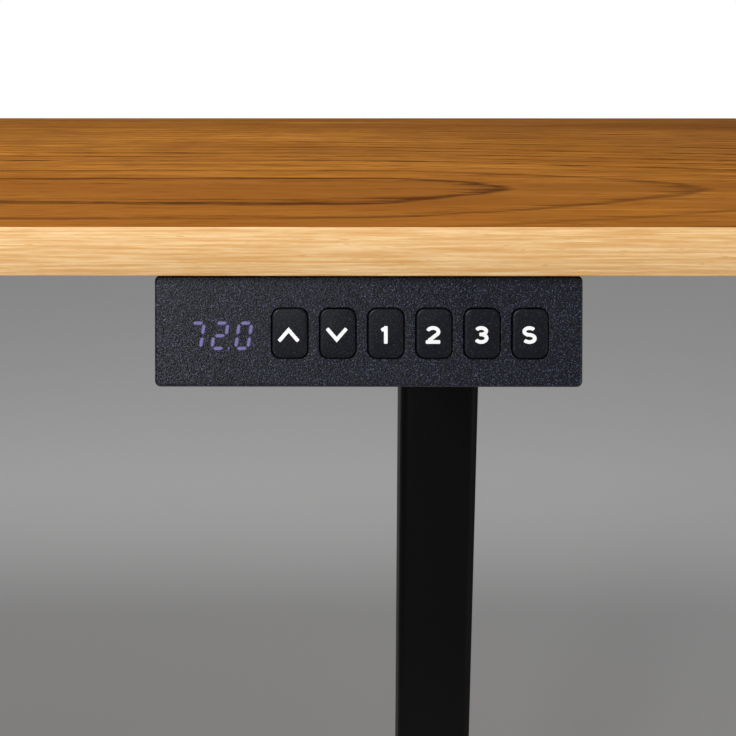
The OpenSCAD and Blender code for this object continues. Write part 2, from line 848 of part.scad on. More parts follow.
module gearbox_case() {
  color([0.12, 0.12, 0.13]) at_motor() difference() {
    gearbox_block(-case_half, case_half - case_wall);
    gearbox_hollow();
    for (s = [-1, 1]) scale([1, s, 1])
      translate([case_bolt_x, head_d / 2 + over, rail_top - rail_h / 2 - shaft_z])
        rotate([180, 0, 0]) along_y(bolt_r + run_gap, bolt_grip + 2 * over);
    translate([case_half - case_wall - small_bite - over, 0, 0]) cover_screw_spots()
      along_x(small_r + run_gap, small_bite + 2 * over);
  }
}

module gearbox_cover() {
  color([0.05, 0.05, 0.05]) at_motor() difference() {
    gearbox_block(case_half - case_wall, case_half);
    gearbox_hollow();
    translate([case_half - case_wall - over, 0, 0]) cover_screw_spots()
      along_x(small_r + hole_gap, case_wall + 2 * over);
  }
}

module worm_wheel() {
  color([0.85, 0.83, 0.75]) at_motor() difference() {
    union() {
      translate([-wheel_w / 2, 0, 0]) rotate([0, 90, 0]) linear_extrude(wheel_w)
        gear_outline(wheel_teeth, wheel_r, wheel_add, wheel_ded, 90);
      translate([-case_half + wheel_hub_short, 0, 0]) along_x(wheel_hub_r, 2 * (case_half - wheel_hub_short));
    }
    translate([-head_w, 0, 0]) rotate([0, 90, 0]) linear_extrude(2 * head_w) hexagon(hex_af + 2 * seat_gap);
  }
}

// Cross-section of the worm's single thread, turned as it rises
function worm_radius(a) = worm_r - wheel_ded
  + (wheel_add + wheel_ded) * max(0, min(1, (thread_half - abs(a)) / thread_flank));

module motor_rotor() {
  turns = 2 * worm_half / worm_pitch;
  can_top = case_bottom;
  color([0.66, 0.66, 0.68]) translate([motor_x, worm_y, 0]) {
    translate([0, 0, shaft_z - worm_half]) rotate([0, 0, 90 - 180 * turns])
      linear_extrude(2 * worm_half, twist = -360 * turns, slices = ceil(turns * slices_a_turn), segments = 0)
        polygon([for (a = [-180 : thread_step : 180 - thread_step]) worm_radius(a) * [cos(a), sin(a)]]);
    translate([0, 0, can_top - motor_len - end_cap_h + rotor_low])
      cylinder(r = rotor_r, h = case_top - can_top + motor_len + end_cap_h - rotor_low - rotor_high);
    translate([0, 0, can_top - motor_len + armature_low])
      cylinder(r = armature_r, h = motor_len - armature_low - armature_high);
  }
}

module motor_can() {
  color([0.08, 0.08, 0.085]) translate([motor_x, worm_y, case_bottom - motor_len]) difference() {
    cylinder(d = motor_d, h = motor_len);
    translate([0, 0, -eps]) cylinder(d = motor_d - 2 * can_wall, h = motor_len + 2 * eps);
  }
}

module motor_end_cap() {
  color([0.03, 0.03, 0.03]) translate([motor_x, worm_y, case_bottom - motor_len - end_cap_h]) difference() {
    union() {
      cylinder(d = motor_d, h = end_cap_h);
      cylinder(d = motor_d - 2 * can_wall - 2 * seat_gap, h = end_cap_h + end_cap_plug);
    }
    translate([0, 0, blind_wall]) cylinder(r = rotor_r + bush_wall + run_gap, h = end_cap_h + end_cap_plug);
  }
}

// A plain bush on the Z axis
module bush(r, len) {
  difference() {
    cylinder(r = r + bush_wall, h = len);
    translate([0, 0, -eps]) cylinder(r = r + run_gap, h = len + 2 * eps);
  }
}

module bushes() {
  color([0.72, 0.52, 0.25]) {
    for (side = [LEFT, RIGHT]) at_leg(side) translate([pocket_in, 0, shaft_z]) rotate([0, 90, 0])
      bush(gear_hub_r, bush_len);
    at_motor() for (x = [-case_half, case_half - case_wall]) translate([x, 0, 0]) rotate([0, 90, 0])
      bush(wheel_hub_r, case_wall);
    translate([motor_x, worm_y, case_bottom]) bush(rotor_r, low_bush);
    translate([motor_x, worm_y, case_top - blind_wall - top_bush]) bush(rotor_r, top_bush);
    translate([motor_x, worm_y, case_bottom - motor_len - end_cap_h + blind_wall]) bush(rotor_r, cap_bush);
  }
}

// ---------- control box ----------

module control_shell(inset, bottom, top) {
  translate([control_x, control_y, bottom]) linear_extrude(top - bottom)
    rounded(control_w - 2 * inset, control_d - 2 * inset, max(control_r - inset, least_r));
}

// Sockets as end, y from the middle, width and height; the last is the mains inlet
ports = [[-1, 0, 12, 10], [1, 0, 12, 10], [1, 26, 22, 14]];

module at_port(p) {
  translate([control_x + p[0] * control_w / 2, control_y + p[1], under_z - port_drop])
    scale([p[0], 1, 1]) children();
}

module control_box_tray() {
  color([0.05, 0.05, 0.055]) difference() {
    control_shell(0, control_bottom, control_top);
    control_shell(control_wall, control_bottom + control_wall, control_top + eps);
    for (p = ports) at_port(p) translate([-control_wall - over, -p[2] / 2 - seat_gap, -p[3] / 2 - seat_gap])
      cube([control_wall + 2 * over, p[2] + 2 * seat_gap, p[3] + 2 * seat_gap]);
    for (k = [-vent_side_count : vent_side_count])
      translate([control_x + k * vent_pitch, control_y, control_bottom - eps])
        linear_extrude(control_wall + 2 * eps) rounded(vent_w, vent_len, vent_r);
  }
}

module control_box_lid() {
  color([0.05, 0.05, 0.055]) difference() {
    translate([control_x, control_y, control_top]) linear_extrude(lid_t) {
      rounded(control_w, control_d, control_r);
      rounded(control_w + 2 * control_ear, control_d - 2 * lid_in, control_r);
    }
    through_holes(control_screw_spots, small_r, lid_t);
  }
}

module control_board() {
  stand = 7;
  stand_r = 3;
  board_w = control_w - 30;
  board_d = control_d - 12;
  stand_in = 5;
  on_board = board_t - eps;
  capacitor_x = -60;
  capacitor_r = 11;
  capacitor_h = 17;
  relay_at = [-30, 10, on_board];
  relay = [26, 22, 14];
  heat_sink_at = [20, -25, on_board];
  heat_sink = [30, 24, 12];
  color([0.05, 0.3, 0.15]) translate([control_x, control_y, control_bottom + stand]) {
    translate([0, 0, board_t / 2]) cube([board_w, board_d, board_t], center = true);
    for (x = [-1, 1], y = [-1, 1])
      translate([x * (board_w / 2 - stand_in), y * (board_d / 2 - stand_in), control_wall - stand])
        cylinder(r = stand_r, h = stand - control_wall + eps);
    translate([capacitor_x, 0, on_board]) cylinder(r = capacitor_r, h = capacitor_h);
    translate(relay_at) cube(relay);
    translate(heat_sink_at) cube(heat_sink);
  }
}

module control_box_ports() {
  color([0.12, 0.12, 0.12]) for (p = ports) at_port(p) difference() {
    translate([-port_len, -p[2] / 2, -p[3] / 2]) cube([port_len, p[2], p[3]]);
    if (p[1] != 0) translate([-socket_h, -p[2] / 2 + port_wall, -p[3] / 2 + port_wall])
      cube([socket_h + over, p[2] - 2 * port_wall, p[3] - 2 * port_wall]);
  }
}

// ---------- keypad ----------

// Side view of the housing, from the top of the face round to the back
keypad_nose = [-keypad_face * sin(face_tilt), -keypad_face * cos(face_tilt)];

module keypad_profile(inset) {
  translate([keypad_x - keypad_w / 2 + inset, front_y + keypad_setback, under_z]) rotate([90, 0, 90])
    linear_extrude(keypad_w - 2 * inset) polygon([
      [-inset * tan(face_tilt), -inset],
      keypad_nose + nose_share * inset * [sin(face_tilt), cos(face_tilt)],
      [keypad_nose[0] + chin_len, keypad_nose[1] - chin_drop + chin_share * inset],
      [keypad_depth - heel_in - inset, keypad_nose[1] + heel_rise + heel_share * inset],
      [keypad_depth - inset, -back_h + back_share * inset],
      [keypad_depth - inset, -inset]
    ]);
}

// The front of the housing, with the face's rounded corners, from from_y to to_y behind the face
module front_slice(inset, from_y, to_y) {
  intersection() {
    keypad_profile(inset);
    on_face() into_face(0, from_y, -keypad_face / 2, to_y - from_y)
      rounded(keypad_w - 2 * inset, keypad_face - 2 * inset, keypad_r);
  }
}

// The back of the housing, from from_y behind the face
module back_slice(inset, from_y) {
  intersection() {
    keypad_profile(inset);
    on_face() into_face(0, from_y, -keypad_face / 2, 3 * keypad_depth)
      square([keypad_w, 4 * keypad_face], center = true);
  }
}

function button_x(k) = first_button + k * button_pitch;

module keypad_front() {
  color([0.045, 0.047, 0.06]) difference() {
    front_slice(0, 0, keypad_split);
    front_slice(keypad_wall, keypad_wall, keypad_split + over);
    on_face() {
      for (k = [0 : button_count - 1]) into_face(button_x(k), -over, button_mid, keypad_wall + 2 * over)
        rounded(slot_w, slot_h, button_r + button_gap);
      into_face(display_x, display_skin, display_z, keypad_wall)
        square([display_w + 2 * display_room, display_h + 2 * display_room], center = true);
    }
  }
}

module keypad_back() {
  color([0.04, 0.04, 0.045]) difference() {
    union() {
      difference() {
        back_slice(0, keypad_split);
        back_slice(keypad_wall, keypad_split - over);
      }
      for (p = ear_screw_spots) translate([p[0] - ear_w / 2, p[1] - ear_len / 2 - eps, under_z - ear_t])
        cube([ear_w, ear_len + eps, ear_t]);
    }
    through_holes(ear_screw_spots, small_r, ear_t);
    translate([handset_route[0][0], front_y + keypad_setback + keypad_depth - keypad_wall - 2 * over,
        under_z + handset_route[0][2]])
      along_y(lead_r + hole_gap, keypad_wall + 4 * over);
  }
}

module keypad_board() {
  switch_y = flange_y + flange_t + button_travel;
  color([0.04, 0.3, 0.14]) on_face() {
    into_face(0, board_y, board_up - keypad_face / 2, board_t)
      square([keypad_w - 2 * board_side, keypad_face - 2 * board_end], center = true);
    for (k = [0 : button_count - 1])
      into_face(button_x(k), switch_y + switch_gap, button_mid, board_y - switch_y)
        square([switch_w, switch_w], center = true);
  }
}

module keypad_display() {
  color([0.1, 0.1, 0.12]) on_face()
    into_face(display_x, display_skin + display_gap, display_z, board_y - display_skin - display_gap)
      square([display_w, display_h], center = true);
}

module button(k) {
  color([0.03, 0.03, 0.035]) on_face() {
    into_face(button_x(k), -button_proud, button_mid, button_proud + flange_y + flange_t / 2)
      rounded(button_w, button_h, button_r);
    into_face(button_x(k), flange_y, button_mid, flange_t) rounded(flange_w, flange_h, button_r);
  }
}

module button_up() { button(0); }
module button_down() { button(1); }
module button_1() { button(2); }
module button_2() { button(3); }
module button_3() { button(4); }
module button_s() { button(5); }

// ---------- leads and clips ----------

// Points on a smooth curve through the route, a few for each stretch
function between(a, b, c, d, t) = 0.5 * (
  2 * b + (c - a) * t + (2 * a - 5 * b + 4 * c - d) * t * t + (3 * b - a - 3 * c + d) * t * t * t
);
function curve(p) = let (n = len(p)) [
  for (i = [0 : n - 2]) for (k = [0 : lead_steps - 1])
    between(p[max(i - 1, 0)], p[i], p[i + 1], p[min(i + 2, n - 1)], k / lead_steps),
  p[n - 1]
];
function unit(v) = v / norm(v);

// One tube along the route; each ring stands square to it, with its first side level
module swept(route) {
  p = curve(route);
  n = len(p);
  last = len(route) - 1;
  rings = [
    for (i = [0 : n - 1]) let (
      t = i == 0 ? unit(route[1] - route[0])
        : i == n - 1 ? unit(route[last] - route[last - 1]) : unit(p[i + 1] - p[i - 1]),
      side = unit(cross(t, [0, 0, 1])),
      up = cross(side, t)
    ) for (k = [0 : lead_sides - 1])
      p[i] + lead_r * (cos(360 * k / lead_sides) * side + sin(360 * k / lead_sides) * up)
  ];
  ring = [for (k = [0 : lead_sides - 1]) k];
  polyhedron(rings, concat(
    [ring],
    [for (i = [0 : n - 2]) for (k = ring) let (a = i * lead_sides, j = (k + 1) % lead_sides)
      [a + k, a + lead_sides + k, a + lead_sides + j, a + j]],
    [[for (k = ring) n * lead_sides - 1 - k]]
  ));
}

module handset_lead() { color([0.03, 0.03, 0.03]) translate([0, 0, under_z]) swept(handset_route); }
module motor_lead() { color([0.03, 0.03, 0.03]) translate([0, 0, under_z]) swept(motor_route); }

module cable_clips() {
  color([0.05, 0.05, 0.05]) for (c = clips)
    translate([c[0], c[1], under_z]) rotate([0, 0, c[2]]) difference() {
      translate([-clip_w / 2, -lead_r - clip_wall, -clip_h]) cube([clip_w, clip_len, clip_h]);
      translate([-clip_w, 0, -lead_drop]) along_x(lead_r + hole_gap, 2 * clip_w);
      translate([0, clip_screw, -clip_h - eps]) cylinder(r = small_r + hole_gap, h = clip_h + over);
    }
}

module bracket_screws() {
  color([0.65, 0.65, 0.66]) for (p = bracket_screw_spots) translate([p[0], p[1], under_z])
    board_screw(wood_r, wood_head_r, bracket_t, wood_bite);
}

module small_screws() {
  color([0.15, 0.15, 0.16]) {
    for (p = ear_screw_spots) translate([p[0], p[1], under_z])
      board_screw(small_r, small_head_r, ear_t, small_bite);
    for (p = control_screw_spots) translate([p[0], p[1], under_z])
      board_screw(small_r, small_head_r, lid_t, small_bite);
    for (p = clip_screw_spots) translate([p[0], p[1], under_z])
      board_screw(small_r, small_head_r, clip_h, small_bite);
    at_motor() translate([case_half, 0, 0]) cover_screw_spots() rotate([0, -90, 0])
      board_screw(small_r, small_head_r, 0, case_wall + small_bite);
  }
}

foot_left();
foot_right();
foot_end_caps();
left_lower_column();
right_lower_column();
foot_bolts();
guide_collars();
nut_posts();
lift_nuts();
leveller_front_left();
leveller_front_right();
leveller_back_left();
leveller_back_right();
tabletop();
front_edge_band();
back_edge_band();
side_edge_bands();
left_bracket();
right_bracket();
front_rail();
back_rail();
left_leg_head();
right_leg_head();
left_upper_column();
right_upper_column();
slide_blocks();
screw_bearings();
bushes();
gearbox_case();
gearbox_cover();
motor_can();
motor_end_cap();
control_box_tray();
control_box_lid();
control_board();
control_box_ports();
keypad_front();
keypad_back();
keypad_board();
keypad_display();
handset_lead();
motor_lead();
cable_clips();
bracket_screws();
frame_bolts();
small_screws();
left_lead_screw();
right_lead_screw();
left_screw_gear();
right_screw_gear();
hex_shaft();
shaft_gears();
worm_wheel();
motor_rotor();
button_up();
button_down();
button_1();
button_2();
button_3();
button_s();
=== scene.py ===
import json
import math

import bmesh
import bpy
from mathutils import Matrix, Vector

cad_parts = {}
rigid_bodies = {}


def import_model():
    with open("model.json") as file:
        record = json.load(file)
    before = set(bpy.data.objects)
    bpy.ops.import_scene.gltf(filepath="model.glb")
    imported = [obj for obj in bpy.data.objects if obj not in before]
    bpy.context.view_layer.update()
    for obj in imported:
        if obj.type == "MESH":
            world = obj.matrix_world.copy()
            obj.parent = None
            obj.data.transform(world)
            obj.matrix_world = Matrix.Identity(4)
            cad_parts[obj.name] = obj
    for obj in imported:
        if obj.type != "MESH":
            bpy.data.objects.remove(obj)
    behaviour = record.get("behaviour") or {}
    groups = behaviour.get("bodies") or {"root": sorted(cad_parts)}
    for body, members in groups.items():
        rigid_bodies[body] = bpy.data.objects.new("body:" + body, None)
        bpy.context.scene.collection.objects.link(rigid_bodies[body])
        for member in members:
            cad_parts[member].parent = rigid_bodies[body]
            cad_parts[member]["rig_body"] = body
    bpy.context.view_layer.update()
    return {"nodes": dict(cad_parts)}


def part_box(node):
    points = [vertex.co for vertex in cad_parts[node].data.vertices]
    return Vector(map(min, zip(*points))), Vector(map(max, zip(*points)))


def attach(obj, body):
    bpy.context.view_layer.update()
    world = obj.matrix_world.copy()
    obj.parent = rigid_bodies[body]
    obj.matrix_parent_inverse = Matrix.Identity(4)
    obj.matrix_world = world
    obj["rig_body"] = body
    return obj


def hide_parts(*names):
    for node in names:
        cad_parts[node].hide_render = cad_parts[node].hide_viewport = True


bl_info = {
    "name": "Standing Desk",
    "version": (1, 0, 0),
    "blender": (4, 5, 0),
    "location": "View3D > Sidebar > Desk",
    "description": "Finishes a height adjustable desk around its engineering frame",
    "category": "Object",
}

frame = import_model()

MM = 0.001
WELD = 0.002 * MM
FLAT_ANGLE = math.radians(0.4)
SMOOTH_ANGLE = math.radians(32)
FILLET_ANGLE = math.radians(50)
LEAST_CORNER = 0.3 * MM
FACE_TILT = math.radians(15)
BUTTONS = ("up", "down", "1", "2", "3", "s")


# ---------- places that come from the frame ----------

def centre(node):
    low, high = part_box(node)
    return (low + high) / 2


def body_of(node):
    return frame["nodes"][node]["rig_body"]


KEYPAD_LOW, KEYPAD_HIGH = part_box("keypad_front")
FRONT_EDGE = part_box("front_edge_band")[0].y
TABLE_LOW, TABLE_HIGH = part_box("tabletop")
# The keypad's own axes: x to the right, y out of the face towards the user, z up along the face
ACROSS = Vector((1, 0, 0))
OUT = Vector((0, -math.cos(FACE_TILT), math.sin(FACE_TILT)))
UP = Vector((0, math.sin(FACE_TILT), math.cos(FACE_TILT)))


def top_of_face():
    """The middle of the upper edge of the keypad's face, from its housing's mesh."""
    points = [v.co for v in frame["nodes"]["keypad_front"].data.vertices]
    foremost = max(p.dot(OUT) for p in points)
    highest = max(p.dot(UP) for p in points if p.dot(OUT) > foremost - WELD)
    return ACROSS * (KEYPAD_LOW.x + KEYPAD_HIGH.x) / 2 + OUT * foremost + UP * highest


FACE_TOP = top_of_face()


def button_centre(key):
    """The middle of a button's front, on its cap."""
    points = [v.co for v in frame["nodes"]["button_" + key].data.vertices]
    front = max(p.dot(OUT) for p in points)
    heights = [p.dot(UP) for p in points]
    across = centre("button_" + key).x
    return ACROSS * across + OUT * front + UP * (min(heights) + max(heights)) / 2


def on_face(x, z, proud, origin):
    """A point x to the right of, z above and proud out from an origin on the face."""
    return origin + ACROSS * x + UP * z + OUT * proud


# ---------- settings ----------

def colour_property(name, description, default):
    return bpy.props.FloatVectorProperty(
        name=name, description=description, default=default, subtype="COLOR", size=3, min=0, max=1)


def length_property(name, description, default):
    return bpy.props.FloatProperty(
        name=name, description=description, default=default, min=0, unit="LENGTH", precision=5)


def power_property(name, description, default):
    return bpy.props.FloatProperty(
        name=name, description=description, default=default, min=0, unit="POWER")


def place_property(name, description, default):
    return bpy.props.FloatProperty(name=name, description=description, default=default, unit="LENGTH")


class BoardSettings(bpy.types.PropertyGroup):
    amber: colour_property("Amber", "Lightest tone of the top's laminate", (0.680, 0.275, 0.036))
    brown: colour_property("Brown", "Deeper tone of the laminate", (0.305, 0.103, 0.013))
    latewood: colour_property("Latewood", "Dark growth lines of the laminate", (0.052, 0.014, 0.002))
    oak: colour_property("Oak", "Edge bands", (0.930, 0.640, 0.325))
    oak_pore: colour_property("Oak pores", "Darker fibres of the edge bands", (0.690, 0.345, 0.098))
    ring_space: length_property("Ring spacing", "Distance between growth lines", 16 * MM)
    arch_x: place_property("Arch place", "Where the figure's pointed arches lie, left to right", 171 * MM)
    arch_y: place_property(
        "Arch line", "Front to back place of the line on which the arches point", -197 * MM)
    straight_to: place_property(
        "Straight lines to", "The growth lines run straight to the left of this place", 410 * MM)
    band_round: length_property("Band rounding", "Radius of the edge bands' arrises", 0.35 * MM)


class KeypadSettings(bpy.types.PropertyGroup):
    plastic: colour_property("Housing", "Spark-eroded housing", (0.0018, 0.0022, 0.0052))
    cap: colour_property("Caps", "Satin button caps", (0.0030, 0.0035, 0.0065))
    ink: colour_property("Ink", "Legends on the caps", (0.950, 0.950, 0.960))
    glow: colour_property("Glow", "Lit digits behind the face", (0.185, 0.150, 0.420))
    rim_round: length_property("Rim rounding", "Radius round the face", 1.2 * MM)
    slot_round: length_property("Slot rounding", "Radius round the button slots", 0.25 * MM)
    cap_round: length_property("Cap rounding", "Radius round a button's front", 0.65 * MM)
    figure_height: length_property("Figure height", "Height of the printed figures", 5.8 * MM)
    figure_stroke: length_property("Figure stroke", "Stroke of the printed figures", 1.2 * MM)
    arrow_width: length_property("Arrow width", "Width of the printed arrows", 7.3 * MM)
    digit_height: length_property("Digit height", "Height of the lit digits", 9.6 * MM)
    digit_pitch: length_property("Digit pitch", "Distance between two lit digits", 7.8 * MM)
    segment_width: length_property("Segment width", "Width of a lit segment", 1.3 * MM)
    ink_height: length_property("Ink height", "How far the ink stands on a cap", 0.03 * MM)


class FrameSettings(bpy.types.PropertyGroup):
    powder: colour_property("Powder coat", "Feet, brackets and rails", (0.020, 0.020, 0.022))
    # The columns' colour is the powder coat made darker: painted shade, for the shade under the desk in which
    # the columns stand.
    column: colour_property("Columns", "Powder coat of the columns", (0.0035, 0.0035, 0.0042))
    alloy: colour_property("Alloy", "Die-cast heads and gearbox", (0.350, 0.350, 0.360))
    plastic: colour_property("Mouldings", "Black moulded covers", (0.022, 0.022, 0.024))
    zinc: colour_property("Zinc", "Plated fasteners", (0.600, 0.600, 0.620))
    sheet_round: length_property("Sheet rounding", "Radius of folded and cut steel edges", 0.5 * MM)
    moulding_round: length_property("Moulding rounding", "Radius of moulded edges", 0.6 * MM)
    cast_round: length_property("Casting rounding", "Radius of cast edges", 1.0 * MM)
    pad_ribs: bpy.props.IntProperty(
        name="Pad ribs", description="Grip ribs round each levelling pad", default=36, min=8, max=90)


class CableSettings(bpy.types.PropertyGroup):
    jacket: colour_property("Jacket", "Soft jacket of the leads", (0.018, 0.018, 0.018))
    radius: length_property("Radius", "Radius of the leads", 2.2 * MM)
    boot_length: length_property("Boot length", "Length of the strain reliefs", 12 * MM)


class StageSettings(bpy.types.PropertyGroup):
    floor: colour_property("Floor", "Plain pale floor", (0.800, 0.800, 0.800))
    key_power: power_property("Key light", "Power of the large light over the front left", 25)
    side_power: power_property("Side light", "Power of the low light at the right", 1.5)
    front_power: power_property("Front light", "Power of the light before the keypad", 2.5)
    sky: bpy.props.FloatProperty(
        name="Sky", description="Strength of the even light all round", default=0.27, min=0)
    backdrop: bpy.props.FloatProperty(
        name="Backdrop", description="Brightness of the white backdrop itself", default=1.0, min=0)
    distance: length_property("Camera distance", "From the desktop's front to the camera", 372 * MM)
    aside: length_property("Camera aside", "From the keypad's middle to the camera, to the right", 1.1 * MM)
    height: length_property("Camera height", "Camera over the desktop", 56 * MM)
    pitch: bpy.props.FloatProperty(
        name="Pitch", description="How far the camera looks down",
        default=math.radians(15.5), subtype="ANGLE")
    turn: bpy.props.FloatProperty(
        name="Turn", description="How far the camera turns to the right",
        default=math.radians(-0.2), subtype="ANGLE")
    lens: bpy.props.FloatProperty(
        name="Lens", description="Focal length in millimetres on a 36 mm sensor", default=56.5, min=10)


SETTINGS = {
    "desk_board": BoardSettings,
    "desk_keypad": KeypadSettings,
    "desk_frame": FrameSettings,
    "desk_cable": CableSettings,
    "desk_stage": StageSettings,
}


# ---------- node trees in few words ----------

def node(tree, kind, inputs=None, **settings):
    """A new node with its settings, its inputs linked to sockets or set to values."""
    made = tree.nodes.new(kind)
    for key, value in settings.items():
        setattr(made, key, value)
    for key, value in (inputs or {}).items():
        if isinstance(value, bpy.types.NodeSocket):
            tree.links.new(value, made.inputs[key])
        else:
            made.inputs[key].default_value = value
    return made


def maths(tree, operation, *values):
    """One step of arithmetic."""
    return node(tree, "ShaderNodeMath", dict(enumerate(values)), operation=operation).outputs[0]


def noise(tree, vector, scale, detail=3.0, roughness=0.55):
    """Soft noise from 0 to 1."""
    return node(tree, "ShaderNodeTexNoise", {
        "Vector": vector, "Scale": scale, "Detail": detail, "Roughness": roughness
    }).outputs["Fac"]


def stretched(tree, vector, scale, location=(0, 0, 0)):
    """The vector with each axis scaled by itself, then moved."""
    return node(tree, "ShaderNodeMapping", {
        "Vector": vector, "Scale": scale, "Location": location
    }).outputs[0]


def remapped(tree, value, from_low, from_high, low=0.0, high=1.0):
    """A value's range stretched onto another, and held within it."""
    return node(tree, "ShaderNodeMapRange", {
        "Value": value, "From Min": from_low, "From Max": from_high, "To Min": low, "To Max": high
    }).outputs[0]


def mixed(tree, share, a, b):
    """One colour between a and b, each a socket or three numbers."""
    made = node(tree, "ShaderNodeMix", data_type="RGBA")
    for key, kind, value in (("Factor", "VALUE", share), ("A", "RGBA", a), ("B", "RGBA", b)):
        socket = next(s for s in made.inputs if s.name == key and s.type == kind)
        if isinstance(value, bpy.types.NodeSocket):
            tree.links.new(value, socket)
        else:
            socket.default_value = value if kind == "VALUE" else (*value, 1)
    return next(s for s in made.outputs if s.type == "RGBA")


def group_tree(name, kind, inputs, outputs):
    """An empty node group with its named sockets, and its input and output nodes."""
    tree = bpy.data.node_groups.new(name, kind)
    for label, socket, default in inputs:
        made = tree.interface.new_socket(label, in_out="INPUT", socket_type=socket)
        if default is not None:
            made.default_value = default
    for label, socket in outputs:
        tree.interface.new_socket(label, in_out="OUTPUT", socket_type=socket)
    return tree, tree.nodes.new("NodeGroupInput").outputs, tree.nodes.new("NodeGroupOutput").inputs


def placed(tree, group, inputs):
    """A shader group placed in a material with its own values."""
    return node(tree, "ShaderNodeGroup", inputs, node_tree=group).outputs


FLOAT = "NodeSocketFloat"
VECTOR = "NodeSocketVector"


def growth_rings():
    """Growth lines of a flat-sawn board: the board cuts a cone of rings, which leaves pointed arches."""
    tree, given, out = group_tree("growth_rings", "ShaderNodeTree", [
        ("Vector", VECTOR, None), ("Spacing", FLOAT, 0.02), ("Arch X", FLOAT, 0.0), ("Arch Y", FLOAT, 0.0),
        ("Straight To", FLOAT, 0.4), ("Depth", FLOAT, 0.12), ("Taper", FLOAT, 0.192),
        ("Waviness", FLOAT, 0.02),
    ], [("Lines", FLOAT), ("Tone", FLOAT)])
    vector = given["Vector"]
    ripple_share, turning, stroke_start, stroke_end, stroke_edge = 0.22, 0.05, 0.60, 0.34, 0.07
    bends = maths(tree, "SUBTRACT", noise(tree, stretched(tree, vector, (1.6, 7, 7)), 1.0, 2.0), 0.5)
    ripples = maths(tree, "SUBTRACT", noise(tree, stretched(tree, vector, (14, 70, 70)), 1.0, 3.0), 0.5)
    small = maths(tree, "MULTIPLY", given["Waviness"], ripple_share)
    sway = maths(tree, "ADD", maths(tree, "MULTIPLY", bends, given["Waviness"]),
                 maths(tree, "MULTIPLY", ripples, small))
    axes = node(tree, "ShaderNodeSeparateXYZ", {0: vector}).outputs
    across = maths(tree, "SUBTRACT", axes["Y"], given["Arch Y"])
    squares = maths(tree, "ADD", maths(tree, "POWER", across, 2.0), maths(tree, "POWER", given["Depth"], 2.0))
    radius = maths(tree, "SQRT", squares)
    beyond = maths(tree, "SMOOTH_MAX", axes["X"], given["Straight To"], turning)
    along = maths(tree, "MULTIPLY", maths(tree, "SUBTRACT", beyond, given["Arch X"]), given["Taper"])
    distance = maths(tree, "ADD", maths(tree, "ADD", radius, along), sway)
    rings = maths(tree, "DIVIDE", distance, given["Spacing"])
    through = maths(tree, "FRACT", rings)
    each = node(tree, "ShaderNodeTexWhiteNoise", {"W": maths(tree, "FLOOR", rings)}, noise_dimensions="1D")
    strength = remapped(tree, each.outputs["Value"], 0.1, 0.9, 0.35, 1.0)
    rise = maths(tree, "POWER", through, 5.0)
    end = remapped(tree, through, 0.93, 1.0, 1.0, 0.0)
    strokes = noise(tree, stretched(tree, vector, (20, 260, 260)), 1.0, 5.0, 0.75)
    limit = remapped(tree, rise, 0.0, 0.8, stroke_start, stroke_end)
    dashes = remapped(tree, maths(tree, "SUBTRACT", strokes, limit), 0.0, stroke_edge)
    shade = maths(tree, "ADD", maths(tree, "MULTIPLY", rise, 0.20), maths(tree, "MULTIPLY", dashes, 0.85))
    lines = maths(tree, "MULTIPLY", maths(tree, "MULTIPLY", shade, end), strength)
    tree.links.new(lines, out["Lines"])
    tree.links.new(noise(tree, stretched(tree, vector, (2.2, 9, 9)), 1.0, 3.0), out["Tone"])
    return tree


def wood_fibre():
    """Fine fibres and short open pores, long in X."""
    tree, given, out = group_tree("wood_fibre", "ShaderNodeTree", [
        ("Vector", VECTOR, None), ("Fineness", FLOAT, 1.0), ("Pore Share", FLOAT, 0.5),
    ], [("Fibres", FLOAT), ("Pores", FLOAT)])
    drift_y, drift_z, fewest_pores, pore_range, pore_edge = 12 * MM, 4 * MM, 0.86, 0.25, 0.06
    drift = maths(tree, "SUBTRACT", noise(tree, stretched(tree, given["Vector"], (9, 16, 16)), 1.0, 3.0), 0.5)
    aside = node(tree, "ShaderNodeCombineXYZ", {
        "Y": maths(tree, "MULTIPLY", drift, drift_y),
        "Z": maths(tree, "MULTIPLY", drift, drift_z)}).outputs[0]
    wavy = node(tree, "ShaderNodeVectorMath", {0: given["Vector"], 1: aside}, operation="ADD").outputs[0]
    fine = node(tree, "ShaderNodeVectorMath", {
        0: wavy, "Scale": given["Fineness"]}, operation="SCALE").outputs[0]
    broad = noise(tree, stretched(tree, fine, (12, 260, 260)), 1.0, 5.0, 0.65)
    thin = noise(tree, stretched(tree, fine, (70, 1000, 1000)), 1.0, 3.0, 0.6)
    fibres = maths(tree, "ADD", maths(tree, "MULTIPLY", broad, 0.5), maths(tree, "MULTIPLY", thin, 0.5))
    dashes = noise(tree, stretched(tree, fine, (95, 1900, 1900), (3, 5, 7)), 1.0, 1.0, 0.4)
    limit = maths(tree, "SUBTRACT", fewest_pores, maths(tree, "MULTIPLY", given["Pore Share"], pore_range))
    pores = remapped(tree, maths(tree, "SUBTRACT", dashes, limit), 0.0, pore_edge)
    tree.links.new(fibres, out["Fibres"])
    tree.links.new(pores, out["Pores"])
    return tree


